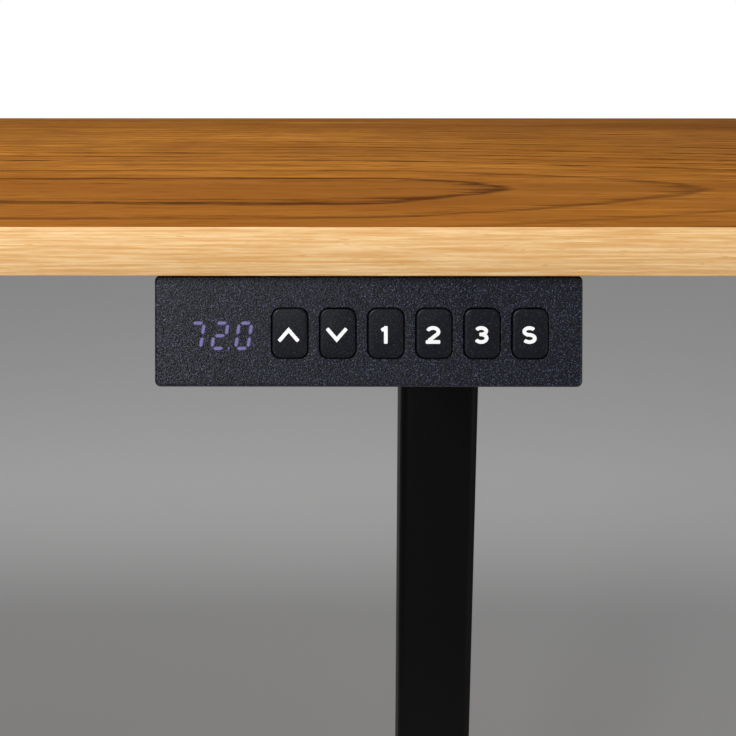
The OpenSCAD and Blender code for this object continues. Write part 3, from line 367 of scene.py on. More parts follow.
def moulded_grain():
    """The pebbled skin of spark-eroded plastic, powder coat or castings: its height and its bright specks."""
    tree, given, out = group_tree("moulded_grain", "ShaderNodeTree", [
        ("Vector", VECTOR, None), ("Grain Size", FLOAT, 0.0006),
    ], [("Height", FLOAT), ("Specks", FLOAT)])
    scale = maths(tree, "DIVIDE", 1.0, given["Grain Size"])
    pebbles = node(tree, "ShaderNodeTexVoronoi", {
        "Vector": given["Vector"], "Scale": scale}, feature="SMOOTH_F1")
    swirls = noise(tree, given["Vector"], maths(tree, "MULTIPLY", scale, 0.8), 3.0, 0.7)
    height = maths(tree, "ADD", maths(tree, "MULTIPLY", pebbles.outputs["Distance"], 0.6), swirls)
    flecks = noise(tree, given["Vector"], maths(tree, "MULTIPLY", scale, 1.3), 1.0, 0.5)
    tree.links.new(height, out["Height"])
    tree.links.new(remapped(tree, flecks, 0.56, 0.78), out["Specks"])
    return tree


def handling():
    """Soft smudges and fine hairline rubs that come with use."""
    tree, given, out = group_tree("handling", "ShaderNodeTree", [
        ("Vector", VECTOR, None), ("Smudge Size", FLOAT, 0.05), ("Amount", FLOAT, 0.3),
    ], [("Smudges", FLOAT), ("Rubs", FLOAT)])
    scale = maths(tree, "DIVIDE", 1.0, given["Smudge Size"])
    patches = remapped(tree, noise(tree, given["Vector"], scale, 4.0, 0.6), 0.42, 0.68)
    turned = node(tree, "ShaderNodeMapping", {
        "Vector": given["Vector"], "Rotation": (0.3, 0.5, 0.7), "Scale": (22, 900, 900)})
    hairs = remapped(tree, noise(tree, turned.outputs[0], 1.0, 2.0, 0.4), 0.70, 0.80)
    tree.links.new(maths(tree, "MULTIPLY", patches, given["Amount"]), out["Smudges"])
    tree.links.new(maths(tree, "MULTIPLY", hairs, given["Amount"]), out["Rubs"])
    return tree


GROUPS = {}


def shared(maker):
    """A shader group that is built once."""
    if maker.__name__ not in GROUPS:
        GROUPS[maker.__name__] = maker()
    return GROUPS[maker.__name__]


# ---------- materials ----------

FINISHES = {}
SOLDER_MASK = (0.012, 0.105, 0.050)
MASKED_COPPER = (0.040, 0.230, 0.100)
GREASE = (0.10, 0.09, 0.07)
SMOKED = (0.020, 0.018, 0.030)
RUBBER = (0.020, 0.020, 0.020)
BLACKED = (0.030, 0.030, 0.032)
STEEL = (0.55, 0.56, 0.58)
GEAR_STEEL = (0.42, 0.42, 0.44)
ACETAL = (0.80, 0.79, 0.74)
BRONZE = (0.60, 0.40, 0.18)
HOUSING_SPECKS = (0.085, 0.098, 0.165)
# Lighter flecks for the button caps: painted sheen, which stands in for the mottled sheen of the satin caps.
CAP_SHEEN_SPECKS = (0.045, 0.048, 0.062)
THREAD_PITCH = 3 * MM


def finish(name, **constants):
    """A new material with the shader's constant values, its tree, its shader and the piece's coordinates."""
    made = bpy.data.materials.new(name)
    made.use_nodes = True
    tree = made.node_tree
    shader = tree.nodes["Principled BSDF"]
    for key, value in constants.items():
        socket = shader.inputs[key.replace("_", " ")]
        socket.default_value = (*value, 1) if hasattr(value, "__len__") and len(value) == 3 else value
    vector = node(tree, "ShaderNodeTexCoord").outputs["Object"]
    return made, tree, shader, vector


def bump(tree, shader, height, distance, strength=1.0):
    """The height of a surface as relief in its shader."""
    made = node(tree, "ShaderNodeBump", {"Height": height, "Distance": distance, "Strength": strength})
    tree.links.new(made.outputs[0], shader.inputs["Normal"])


def laminate(board):
    """Wood-grain laminate: amber to brown, dark growth lines, fine embossed fibres under a satin sheen."""
    made, tree, shader, vector = finish("desktop_laminate", IOR=1.5, Specular_IOR_Level=0.006)
    rings = placed(tree, shared(growth_rings), {
        "Vector": vector, "Spacing": board.ring_space, "Arch X": board.arch_x, "Arch Y": board.arch_y,
        "Straight To": board.straight_to})
    fibre = placed(tree, shared(wood_fibre), {"Vector": vector, "Fineness": 0.62, "Pore Share": 0.85})
    tone = remapped(tree, rings["Tone"], 0.32, 0.68)
    colour = mixed(tree, tone, tuple(board.amber), tuple(board.brown))
    veins = remapped(tree, fibre["Fibres"], 0.42, 0.58, 0.0, 1.0)
    colour = mixed(tree, veins, colour, tuple(board.brown))
    colour = mixed(tree, maths(tree, "MULTIPLY", fibre["Pores"], 0.60), colour, tuple(board.latewood))
    colour = mixed(tree, rings["Lines"], colour, tuple(board.latewood))
    tree.links.new(colour, shader.inputs["Base Color"])
    marks = placed(tree, shared(handling), {"Vector": vector, "Smudge Size": 0.12, "Amount": 0.10})
    rough = maths(tree, "ADD", remapped(tree, fibre["Fibres"], 0.3, 0.7, 0.46, 0.58), marks["Smudges"])
    tree.links.new(rough, shader.inputs["Roughness"])
    height = maths(tree, "SUBTRACT", fibre["Fibres"], maths(tree, "MULTIPLY", fibre["Pores"], 0.5))
    bump(tree, shader, height, 0.05 * MM, 0.6)
    return made


def oak(board, name, turn):
    """Blond oak edge band with straight fibres, turned about each axis to run along the band."""
    made, tree, shader, vector = finish(name, IOR=1.48, Specular_IOR_Level=0.3)
    turned = node(tree, "ShaderNodeMapping", {"Vector": vector, "Rotation": turn}).outputs[0]
    fibre = placed(tree, shared(wood_fibre), {"Vector": turned, "Fineness": 1.6, "Pore Share": 0.75})
    streaks = noise(tree, stretched(tree, turned, (24, 1200, 1200)), 1.0, 4.0, 0.65)
    darker = remapped(tree, streaks, 0.40, 0.62, 0.0, 0.85)
    colour = mixed(tree, darker, tuple(board.oak), tuple(board.oak_pore))
    veins = remapped(tree, fibre["Fibres"], 0.45, 0.62, 0.0, 0.45)
    colour = mixed(tree, veins, colour, tuple(board.oak_pore))
    colour = mixed(tree, maths(tree, "MULTIPLY", fibre["Pores"], 0.8), colour, tuple(board.oak_pore))
    tree.links.new(colour, shader.inputs["Base Color"])
    tree.links.new(remapped(tree, fibre["Fibres"], 0.3, 0.7, 0.44, 0.54), shader.inputs["Roughness"])
    bump(tree, shader, fibre["Fibres"], 0.04 * MM, 0.6)
    return made


def pebbled(name, colour, grain, depth, roughness, speck=0.0, speck_colour=(0.2, 0.2, 0.22), **constants):
    """Black plastic, powder coat or cast skin: its own grain size and depth, smudges in its sheen."""
    rub_gain, rub_lift, rub_share = 1.9, 0.006, 0.6
    made, tree, shader, vector = finish(name, **constants)
    skin = placed(tree, shared(moulded_grain), {"Vector": vector, "Grain Size": grain})
    marks = placed(tree, shared(handling), {"Vector": vector, "Smudge Size": 0.06, "Amount": 0.12})
    # Specks mixed into the colour; on the button caps they are painted sheen, lighter flecks for the caps'
    # mottled sheen.
    tint = mixed(tree, maths(tree, "MULTIPLY", skin["Specks"], speck), tuple(colour), speck_colour)
    lighter = tuple(min(1.0, c * rub_gain + rub_lift) for c in colour)
    tint = mixed(tree, maths(tree, "MULTIPLY", marks["Rubs"], rub_share), tint, lighter)
    tree.links.new(tint, shader.inputs["Base Color"])
    tree.links.new(maths(tree, "ADD", marks["Smudges"], roughness), shader.inputs["Roughness"])
    bump(tree, shader, skin["Height"], depth)
    return made


def metal(name, colour, roughness, brush=(40, 900, 900), depth=0.01 * MM, stain=0.25):
    """Bare or plated metal with a drawn or turned surface."""
    made, tree, shader, vector = finish(name, Metallic=1.0)
    lines = noise(tree, stretched(tree, vector, brush), 1.0, 3.0, 0.6)
    marks = placed(tree, shared(handling), {"Vector": vector, "Smudge Size": 0.03, "Amount": stain})
    dull = tuple(c * 0.72 for c in colour)
    tree.links.new(mixed(tree, marks["Smudges"], tuple(colour), dull), shader.inputs["Base Color"])
    drawn = remapped(tree, lines, 0.3, 0.7, roughness - 0.06, roughness + 0.08)
    tree.links.new(maths(tree, "ADD", drawn, marks["Smudges"]), shader.inputs["Roughness"])
    bump(tree, shader, lines, depth, 0.5)
    return made


def circuit_board(name):
    """Green solder mask over copper tracks."""
    made, tree, shader, vector = finish(name, Roughness=0.32, Coat_Weight=0.4)
    tracks = node(tree, "ShaderNodeTexBrick", {
        "Vector": vector, "Scale": 220.0, "Mortar Size": 0.08,
        "Color1": (0, 0, 0, 1), "Color2": (0, 0, 0, 1), "Mortar": (1, 1, 1, 1)})
    blotches = noise(tree, vector, 60.0, 2.0)
    copper = maths(tree, "MULTIPLY", node(tree, "ShaderNodeRGBToBW", {0: tracks.outputs["Color"]}).outputs[0],
                   remapped(tree, blotches, 0.45, 0.55))
    tree.links.new(mixed(tree, copper, SOLDER_MASK, MASKED_COPPER), shader.inputs["Base Color"])
    bump(tree, shader, copper, 0.03 * MM)
    return made


def lit_plastic(keypad):
    """The housing's plastic where a digit glows through it; the glow fades at a segment's rim."""
    made, tree, shader, vector = finish("lit_plastic", Roughness=0.5, Emission_Strength=1.0)
    skin = placed(tree, shared(moulded_grain), {"Vector": vector, "Grain Size": 0.45 * MM})
    glow = node(tree, "ShaderNodeAttribute", attribute_name="glow").outputs["Fac"]
    grainy = maths(tree, "MULTIPLY", glow, remapped(tree, skin["Height"], 0.5, 1.1, 0.65, 1.15))
    tree.links.new(mixed(tree, grainy, (0, 0, 0), tuple(keypad.glow)), shader.inputs["Emission Color"])
    colour = mixed(tree, skin["Specks"], tuple(keypad.plastic), (0.07, 0.075, 0.10))
    tree.links.new(colour, shader.inputs["Base Color"])
    bump(tree, shader, skin["Height"], 0.05 * MM)
    return made


def ink(keypad):
    """Printed ink, slightly uneven."""
    made, tree, shader, vector = finish("legend_ink", Roughness=0.5)
    cover = noise(tree, vector, 900.0, 2.0)
    thin = tuple(c * 0.86 for c in keypad.ink)
    colour = mixed(tree, remapped(tree, cover, 0.4, 0.65), tuple(keypad.ink), thin)
    tree.links.new(colour, shader.inputs["Base Color"])
    bump(tree, shader, cover, 0.01 * MM)
    return made


def threaded_steel(name, colour, pitch):
    """Steel rod whose thread shows in its bump and in dark grease between the turns."""
    made, tree, shader, vector = finish(name, Metallic=1.0, Roughness=0.3)
    height = node(tree, "ShaderNodeSeparateXYZ", {0: vector}).outputs["Z"]
    turn = maths(tree, "FRACT", maths(tree, "DIVIDE", height, pitch))
    flank = maths(tree, "ABSOLUTE", maths(tree, "SUBTRACT", turn, 0.5))
    grease = remapped(tree, flank, 0.0, 0.22, 0.8, 0.0)
    tree.links.new(mixed(tree, grease, colour, GREASE), shader.inputs["Base Color"])
    bump(tree, shader, flank, 0.8 * MM)
    return made


def floor_finish(stage):
    """Plain pale floor with a faint mottle."""
    made, tree, shader, vector = finish("floor", Roughness=0.7, Specular_IOR_Level=0.0)
    mottle = noise(tree, vector, 1.3, 3.0)
    darker = tuple(c * 0.97 for c in stage.floor)
    tree.links.new(mixed(tree, mottle, tuple(stage.floor), darker), shader.inputs["Base Color"])
    return made


def finishes(scene):
    """Every material by its slot in the record, made once from the settings."""
    if FINISHES:
        return FINISHES
    board, keypad, steel = scene.desk_board, scene.desk_keypad, scene.desk_frame
    FINISHES.update({
        "desktop_laminate": laminate(board),
        "edge_oak": oak(board, "edge_oak", (0, 0, 0)),
        "edge_oak_sides": oak(board, "edge_oak_sides", (0, 0, math.pi / 2)),
        "frame_paint": pebbled("frame_paint", steel.powder, 0.9 * MM, 0.05 * MM, 0.42),
        # The columns get a darker copy of the powder coat with less specular: the darker colour is painted
        # shade.
        "column_paint": pebbled("column_paint", steel.column, 0.9 * MM, 0.05 * MM, 0.45,
                                Specular_IOR_Level=0.10),
        "cast_head": pebbled("cast_head", steel.alloy, 0.8 * MM, 0.08 * MM, 0.42, Metallic=0.9),
        "black_plastic": pebbled("black_plastic", steel.plastic, 0.5 * MM, 0.05 * MM, 0.46),
        "keypad_plastic": pebbled("keypad_plastic", keypad.plastic, 0.55 * MM, 0.16 * MM, 0.27, 1.0,
                                  HOUSING_SPECKS, Specular_IOR_Level=0.32),
        # The caps' specks are painted sheen: lighter flecks in the colour stand in for the mottled sheen of
        # the satin caps.
        "button_plastic": pebbled("button_plastic", keypad.cap, 0.6 * MM, 0.06 * MM, 0.34, 0.6,
                                  CAP_SHEEN_SPECKS, Specular_IOR_Level=0.20),
        "display_plastic": pebbled("display_plastic", SMOKED, 0.4 * MM, 0.01 * MM, 0.2),
        "foot_rubber": pebbled("foot_rubber", RUBBER, 0.7 * MM, 0.06 * MM, 0.62),
        "zinc_steel": metal("zinc_steel", tuple(steel.zinc), 0.32, (300, 300, 300)),
        "black_screw": pebbled("black_screw", BLACKED, 0.3 * MM, 0.02 * MM, 0.34, Metallic=0.6),
        "ground_steel": metal("ground_steel", STEEL, 0.24, (900, 900, 40)),
        "screw_steel": threaded_steel("screw_steel", STEEL, THREAD_PITCH),
        "gear_steel": metal("gear_steel", GEAR_STEEL, 0.30, (200, 200, 200), 0.02 * MM, 0.4),
        "motor_steel": pebbled("motor_steel", BLACKED, 0.6 * MM, 0.02 * MM, 0.30),
        "acetal": pebbled("acetal", ACETAL, 0.6 * MM, 0.02 * MM, 0.36),
        "bronze": metal("bronze", BRONZE, 0.35, (700, 700, 700)),
        "circuit_board": circuit_board("circuit_board"),
        "lead_jacket": pebbled("lead_jacket", scene.desk_cable.jacket, 0.4 * MM, 0.02 * MM, 0.48),
        "lit_plastic": lit_plastic(keypad),
        "legend_ink": ink(keypad),
    })
    return FINISHES


# ---------- making pieces ----------

def add_piece(name, mesh, slot, body, nodes=(), material=None):
    """A finished mesh as a piece that rides on a body and stands for the frame's nodes."""
    mesh.materials.clear()
    mesh.materials.append(material or finishes(bpy.context.scene)[slot])
    mesh.name = name
    piece = bpy.data.objects.new(name, mesh)
    bpy.context.scene.collection.objects.link(piece)
    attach(piece, body)
    if nodes:
        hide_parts(*nodes)
    return piece


def temporary(mesh):
    thing = bpy.data.objects.new("temporary", mesh)
    bpy.context.scene.collection.objects.link(thing)
    return thing


def applied(thing):
    """The plain mesh that a temporary object's modifiers leave; the object goes."""
    bpy.context.view_layer.update()
    graph = bpy.context.evaluated_depsgraph_get()
    mesh = bpy.data.meshes.new_from_object(thing.evaluated_get(graph), depsgraph=graph)
    bpy.data.objects.remove(thing)
    return mesh


def welded(node_name):
    """A copy of a frame node's mesh, its doubles merged and its flat triangles joined."""
    shell = bmesh.new()
    shell.from_mesh(frame["nodes"][node_name].data)
    bmesh.ops.remove_doubles(shell, verts=shell.verts, dist=WELD)
    bmesh.ops.dissolve_limit(shell, angle_limit=FLAT_ANGLE, verts=shell.verts, edges=shell.edges)
    for face in shell.faces:
        face.smooth = True
        face.material_index = 0
    return shell


def as_mesh(shell):
    """The finished shell as a mesh; the shell itself is freed."""
    mesh = bpy.data.meshes.new("shape")
    shell.to_mesh(mesh)
    shell.free()
    return mesh


def softened(node_name, radius, segments=2, radius_at=None, clamp=True):
    """A frame node with its sharp edges rounded, or only those to which radius_at gives a radius."""
    shell = welded(node_name)
    if radius_at:
        layer = shell.edges.layers.float.new("bevel_weight_edge")
        for edge in shell.edges:
            if edge.is_manifold and edge.calc_face_angle() > SMOOTH_ANGLE:
                edge[layer] = radius_at(edge.verts[0].co, edge.verts[1].co) / radius
    thing = temporary(as_mesh(shell))
    rounding = thing.modifiers.new("Rounding", "BEVEL")
    rounding.width = radius
    rounding.segments = segments
    rounding.limit_method = "WEIGHT" if radius_at else "ANGLE"
    rounding.angle_limit = SMOOTH_ANGLE
    rounding.harden_normals = True
    rounding.use_clamp_overlap = clamp
    mesh = applied(thing)
    mesh.set_sharp_from_angle(angle=FILLET_ANGLE)
    return mesh


def soft_pieces(names, slot, radius, segments=2):
    for name in names:
        add_piece(name + ".finish", softened(name, radius, segments), slot, body_of(name), [name])


def painted(names, slot, material=None):
    """Frame nodes whose shape stays get their finish."""
    for name in names:
        frame["nodes"][name].data.materials.clear()
        frame["nodes"][name].data.materials.append(material or finishes(bpy.context.scene)[slot])


def lathed(shell, profile, place, sides=32):
    """A turned shape added to shell: profile as radius and height, place as the matrix of its axis."""
    rings = []
    for radius, height in profile:
        if radius <= 0:
            rings.append([shell.verts.new(place @ Vector((0, 0, height)))])
        else:
            rings.append([
                shell.verts.new(place @ Vector((
                    radius * math.cos(math.tau * k / sides),
                    radius * math.sin(math.tau * k / sides), height)))
                for k in range(sides)])
    for lower, upper in zip(rings, rings[1:]):
        for k in range(sides):
            j = (k + 1) % sides
            corners = [lower[k % len(lower)], lower[j % len(lower)],
                       upper[j % len(upper)], upper[k % len(upper)]]
            shell.faces.new(list(dict.fromkeys(corners)))


def aimed(place, direction, turn=0.0):
    """The matrix that moves +Z onto a direction, at a place."""
    facing = Vector(direction).to_track_quat("Z", "Y").to_matrix().to_4x4()
    return Matrix.Translation(place) @ facing @ Matrix.Rotation(turn, 4, "Z")


def islands(node_name):
    """The separate solids of a node, each as a list of points."""
    shell = welded(node_name)
    left, found = set(shell.verts), []
    while left:
        front = [left.pop()]
        island = list(front)
        while front:
            around = {e.other_vert(v) for v in front for e in v.link_edges} & left
            left -= around
            front = list(around)
            island += front
        found.append([v.co.copy() for v in island])
    shell.free()
    return sorted(found, key=lambda points: tuple(round(min(p[k] for p in points), 5) for k in range(3)))


# ---------- geometry node trees ----------

def modifier_with(thing, tree, values):
    """A Geometry Nodes modifier whose inputs are set by their sockets' identifiers."""
    made = thing.modifiers.new(tree.name, "NODES")
    made.node_group = tree
    for socket in tree.interface.items_tree:
        if socket.item_type == "SOCKET" and socket.in_out == "INPUT" and socket.name in values:
            made[socket.identifier] = values[socket.name]
    return made


def geometry_tree(name, inputs):
    tree, given, out = group_tree(name, "GeometryNodeTree", [
        ("Geometry", "NodeSocketGeometry", None), *inputs, ("Material", "NodeSocketMaterial", None),
    ], [("Geometry", "NodeSocketGeometry")])
    return tree, given, out


def ended(tree, geometry, given, out):
    """Real geometry with its material at the tree's end."""
    real = node(tree, "GeometryNodeRealizeInstances", {0: geometry}).outputs[0]
    last = node(tree, "GeometryNodeSetMaterial", {"Geometry": real, "Material": given["Material"]}).outputs[0]
    tree.links.new(last, out["Geometry"])
    return tree


def screws_tree():
    """One screw on each point, aimed by the points' own attribute and turned by chance about its axis."""
    tree, given, out = geometry_tree("screw_set", [
        ("Screw", "NodeSocketObject", None), ("Size", FLOAT, 1.0), ("Seed", "NodeSocketInt", 3)])
    screw = node(tree, "GeometryNodeObjectInfo", {"Object": given["Screw"]}).outputs["Geometry"]
    aim = node(tree, "GeometryNodeInputNamedAttribute", {"Name": "aim"}, data_type="FLOAT_VECTOR").outputs[0]
    set_ = node(tree, "GeometryNodeInstanceOnPoints", {
        "Points": given["Geometry"], "Instance": screw, "Rotation": aim, "Scale": given["Size"]}).outputs[0]
    chance = node(tree, "FunctionNodeRandomValue", {"Seed": given["Seed"]}, data_type="FLOAT")
    turn_socket = next(s for s in chance.outputs if s.type == "VALUE")
    angle = maths(tree, "MULTIPLY", turn_socket, math.tau)
    turn = node(tree, "ShaderNodeCombineXYZ", {"Z": angle}).outputs[0]
    turned = node(tree, "GeometryNodeRotateInstances", {"Instances": set_, "Rotation": turn}).outputs[0]
    return ended(tree, turned, given, out)


def tube_tree():
    """A round jacket along a curve."""
    tree, given, out = geometry_tree("lead_jacket", [
        ("Radius", FLOAT, 0.002), ("Sides", "NodeSocketInt", 16)])
    ring = node(tree, "GeometryNodeCurvePrimitiveCircle", {
        "Radius": given["Radius"], "Resolution": given["Sides"]}).outputs[0]
    tube = node(tree, "GeometryNodeCurveToMesh", {
        "Curve": given["Geometry"], "Profile Curve": ring, "Fill Caps": True}).outputs[0]
    smooth = node(tree, "GeometryNodeSetShadeSmooth", {0: tube}).outputs[0]
    return ended(tree, smooth, given, out)


def ribs_tree():
    """Grip ribs round a pad: a rounded bar on each of the points of a circle."""
    tree, given, out = geometry_tree("grip_ribs", [
        ("Radius", FLOAT, 0.02), ("Count", "NodeSocketInt", 36), ("Rib Width", FLOAT, 0.001),
        ("Rib Height", FLOAT, 0.003), ("Lift", FLOAT, 0.001)])
    ring = node(tree, "GeometryNodeCurvePrimitiveCircle", {
        "Radius": given["Radius"], "Resolution": given["Count"]}).outputs[0]
    lifted = node(tree, "GeometryNodeTransform", {
        "Geometry": ring, "Translation": node(tree, "ShaderNodeCombineXYZ", {"Z": given["Lift"]}).outputs[0]
    }).outputs[0]
    half_width = maths(tree, "MULTIPLY", given["Rib Width"], 0.5)
    rib = node(tree, "GeometryNodeMeshCylinder", {
        "Vertices": 10, "Radius": half_width, "Depth": given["Rib Height"]}).outputs["Mesh"]
    round_ribs = node(tree, "GeometryNodeInstanceOnPoints", {"Points": lifted, "Instance": rib}).outputs[0]
    pad = given["Geometry"]
    joined = tree.nodes.new("GeometryNodeJoinGeometry")
    tree.links.new(round_ribs, joined.inputs[0])
    tree.links.new(pad, joined.inputs[0])
    return ended(tree, joined.outputs[0], given, out)


# ---------- strokes for legends and digits ----------

def stroke_sides(points, width):
    """Left and right sides of a stroke along points, mitred at its corners, its ends' corners cut."""
    points = [Vector(p) for p in points]
    cut, narrow = 0.18 * width, 0.62
    first = (points[1] - points[0]).normalized() * cut
    last = (points[-1] - points[-2]).normalized() * cut
    points = [points[0], points[0] + first, *points[1:-1], points[-1] - last, points[-1]]
    left, right = [], []
    for k, p in enumerate(points):
        before = (p - points[k - 1]).normalized() if k else (points[1] - p).normalized()
        after = (points[k + 1] - p).normalized() if k < len(points) - 1 else before
        across = Vector((-before.y - after.y, before.x + after.x)).normalized()
        reach = width / 2 / max(across.dot(Vector((-before.y, before.x))), 0.35)
        if k in (0, len(points) - 1):
            reach *= narrow
        left.append(p + across * reach)
        right.append(p - across * reach)
    return left, right


def add_strip(shell, left, right, height, origin):
    """A raised strip between two sides on the face."""
    rows = []
    for side in (left, right):
        rows.append([[shell.verts.new(on_face(p.x, p.y, proud, origin)) for p in side]
                     for proud in (0.0, height)])
    (left_low, left_high), (right_low, right_high) = rows
    for k in range(len(left) - 1):
        shell.faces.new((left_high[k], right_high[k], right_high[k + 1], left_high[k + 1]))
        shell.faces.new((left_low[k + 1], right_low[k + 1], right_low[k], left_low[k]))
        shell.faces.new((left_low[k], left_high[k], left_high[k + 1], left_low[k + 1]))
        shell.faces.new((right_low[k + 1], right_high[k + 1], right_high[k], right_low[k]))
    shell.faces.new((left_low[0], right_low[0], right_high[0], left_high[0]))
    shell.faces.new((left_low[-1], left_high[-1], right_high[-1], right_low[-1]))


def arc(x, y, wide, high, start, stop, steps=18):
    """Points along an ellipse's arc, angles in degrees."""
    angles = [math.radians(start + (stop - start) * k / steps) for k in range(steps + 1)]
    return [(x + wide * math.cos(a), y + high * math.sin(a)) for a in angles]


def legend_strokes(key, height, stroke, arrow_width):
    """A legend's centre lines about its middle, as a list of strokes."""
    up = (height - stroke) / 2
    side = 0.41 * height - stroke / 2
    if key in ("up", "down"):
        point = 0.216 * arrow_width if key == "up" else -0.216 * arrow_width
        half = 0.435 * arrow_width
        return [[(-half, -1.33 * point), (0, point), (half, -1.33 * point)]]
    if key == "1":
        bar = 0.25 * stroke
        stem = [(bar, height / 2), (bar, -height / 2)]
        flag = [(bar + 0.2 * stroke, up * 1.02), (-0.95 * stroke, up * 0.66)]
        return [stem, flag]
    if key == "2":
        bowl = 0.56 * up
        foot = side + stroke / 2
        return [arc(0, up - bowl, side, bowl, 165, -30) + [(0.75 * stroke - foot, 0.3 * stroke - up)],
                [(-foot, -up), (foot, -up)]]
    if key == "3":
        return [arc(0, 0.54 * up, 0.92 * side, 0.46 * up, 158, -90) + [(-0.35 * side, 0.08 * up)],
                [(-0.35 * side, 0.08 * up)] + arc(0, -0.46 * up, side, 0.54 * up, 90, -158)]
    upper = arc(0, 0.51 * up, 0.94 * side, 0.49 * up, 28, 270)
    lower = arc(0, -0.49 * up, side, 0.51 * up, 90, -152)
    return [upper + lower[1:]]


SEGMENTS = {"7": "abc", "2": "abged", "0": "abcdef"}
SEGMENT_ENDS = {
    "a": ((0, 1), (1, 1)), "b": ((1, 1), (1, 0)), "c": ((1, 0), (1, -1)), "d": ((0, -1), (1, -1)),
    "e": ((0, 0), (0, -1)), "f": ((0, 1), (0, 0)), "g": ((0, 0), (1, 0)),
}


def add_glowing_plate(shell, layer, outline, inner, height, origin):
    """A thin plate on the face whose glow fades from the inner outline to the outer one."""
    def ring(points, proud, glow):
        made = []
        for p in points:
            vert = shell.verts.new(on_face(p.x, p.y, proud, origin))
            vert[layer] = glow
            made.append(vert)
        return made
    low, rim, core = ring(outline, 0.0, 0.0), ring(outline, height, 0.0), ring(inner, height, 1.0)
    count = len(outline)
    for k in range(count):
        j = (k + 1) % count
        shell.faces.new((low[k], low[j], rim[j], rim[k]))
        shell.faces.new((rim[k], rim[j], core[j], core[k]))
    shell.faces.new(core)
    shell.faces.new(low[::-1])


# ---------- operators ----------

class DESK_OT_board(bpy.types.Operator):
    """Finish the desktop: laminate on the board and oak on its four edges"""
    bl_idname = "desk.board"
    bl_label = "Board"

    def execute(self, context):
        painted(["tabletop"], "desktop_laminate")
        looks = finishes(context.scene)
        round_ = context.scene.desk_board.band_round
        soft_pieces(["front_edge_band", "back_edge_band"], "edge_oak", round_)
        add_piece("side_edge_bands.finish", softened("side_edge_bands", round_), "edge_oak", "top",
                  ["side_edge_bands"], looks["edge_oak_sides"])
        return {"FINISHED"}


def face_ring(shell, area, grow, depth, radius):
    """A rounded rectangle's corners at a depth behind the face; area is left, low, right and high."""
    left, low, right, high = area
    left, low, right, high = left - grow, low - grow, right + grow, high + grow
    radius = max(radius + grow, LEAST_CORNER)
    steps = 8
    ring = []
    for x, z, start in ((right - radius, low + radius, -90), (right - radius, high - radius, 0),
                        (left + radius, high - radius, 90), (left + radius, low + radius, 180)):
        for k in range(steps + 1):
            angle = math.radians(start + 90 * k / steps)
            across, up = x + radius * math.cos(angle), z + radius * math.sin(angle)
            ring.append(shell.verts.new(on_face(across, up, -depth, FACE_TOP)))
    return ring


def bridged(shell, rings):
    for one, other in zip(rings, rings[1:]):
        for k in range(len(one)):
            j = (k + 1) % len(one)
            shell.faces.new((one[k], one[j], other[j], other[k]))


def filled(shell, rings):
    """A flat face bounded by rings, the first outside and the others as holes."""
    edges = []
    for ring in rings:
        for one, other in zip(ring, ring[1:] + ring[:1]):
            edges.append(shell.edges.get((one, other)) or shell.edges.new((one, other)))
    bmesh.ops.triangle_fill(shell, use_beauty=True, edges=edges, normal=OUT)


def quarter_turn(radius, steps):
    """Inset and depth along a rounded edge, from the face round to the side."""
    angles = [math.pi / 2 * k / steps for k in range(steps + 1)]
    return [(radius * (1 - math.sin(a)), radius * (1 - math.cos(a))) for a in angles]


def extent_on_face(points):
    """Left, low, right and high of points in the face's plane, seen from the top of the face."""
    across = [(p - FACE_TOP).dot(ACROSS) for p in points]
    up = [(p - FACE_TOP).dot(UP) for p in points]
    return Vector((min(across), min(up), max(across), max(up)))


def node_points(name, near_front=None):
    """A node's corners, or only those within a distance of its front."""
    points = [v.co for v in frame["nodes"][name].data.vertices]
    front = max(p.dot(OUT) for p in points)
    return [p for p in points if near_front is None or p.dot(OUT) > front - near_front]


class DESK_OT_housing(bpy.types.Operator):
    """Shape the keypad's housing: a rounded rim round the face and soft edges round the button slots"""
    bl_idname = "desk.housing"
    bl_label = "Keypad housing"

    def execute(self, context):
        keypad = context.scene.desk_keypad
        shell = bmesh.new()
        corner, wall, slit, slot_corner = 2 * MM, 2 * MM, 0.4 * MM, 2.8 * MM
        pocket_gap, pocket_floor = 0.5 * MM, 0.8 * MM
        points = node_points("keypad_front")
        deepest = max((FACE_TOP - p).dot(OUT) for p in points)
        face = extent_on_face(node_points("keypad_front", WELD))
        back = extent_on_face([p for p in points if (FACE_TOP - p).dot(OUT) > deepest - WELD])

        def outer(inset, depth):
            return face_ring(shell, face.lerp(back, depth / deepest), -inset, depth, corner)

        rim = [(keypad.rim_round + 0.05 * MM, 0.0)] + quarter_turn(keypad.rim_round, 6)
        rings = [outer(inset, depth) for inset, depth in rim]
        rings += [outer(0.0, deepest), outer(wall, deepest), outer(wall, wall)]
        bridged(shell, rings)
        mouths, throats = [], []
        for key in BUTTONS:
            area = extent_on_face(node_points("button_" + key, WELD))
            edge = [(keypad.slot_round + 0.03 * MM, 0.0)] + quarter_turn(keypad.slot_round, 4) + [(0.0, wall)]
            slot = [face_ring(shell, area, slit + out, depth, slot_corner) for out, depth in edge]
            bridged(shell, slot)
            mouths.append(slot[0])
            throats.append(slot[-1])
        area = extent_on_face(node_points("keypad_display"))
        pocket = [face_ring(shell, area, pocket_gap, depth, 0) for depth in (wall, pocket_floor)]
        bridged(shell, pocket)
        filled(shell, [pocket[1]])
        filled(shell, [rings[0]] + mouths)
        filled(shell, [rings[-1]] + throats + [pocket[0]])
        bmesh.ops.recalc_face_normals(shell, faces=shell.faces)
        mesh = as_mesh(shell)
        mesh.shade_smooth()
        mesh.set_sharp_from_angle(angle=FILLET_ANGLE)
        add_piece("keypad_front.finish", mesh, "keypad_plastic", "top", ["keypad_front"])
        soft_pieces(["keypad_back"], "black_plastic", 0.4 * MM)
        painted(["keypad_board"], "circuit_board")
        painted(["keypad_display"], "display_plastic")
        return {"FINISHED"}


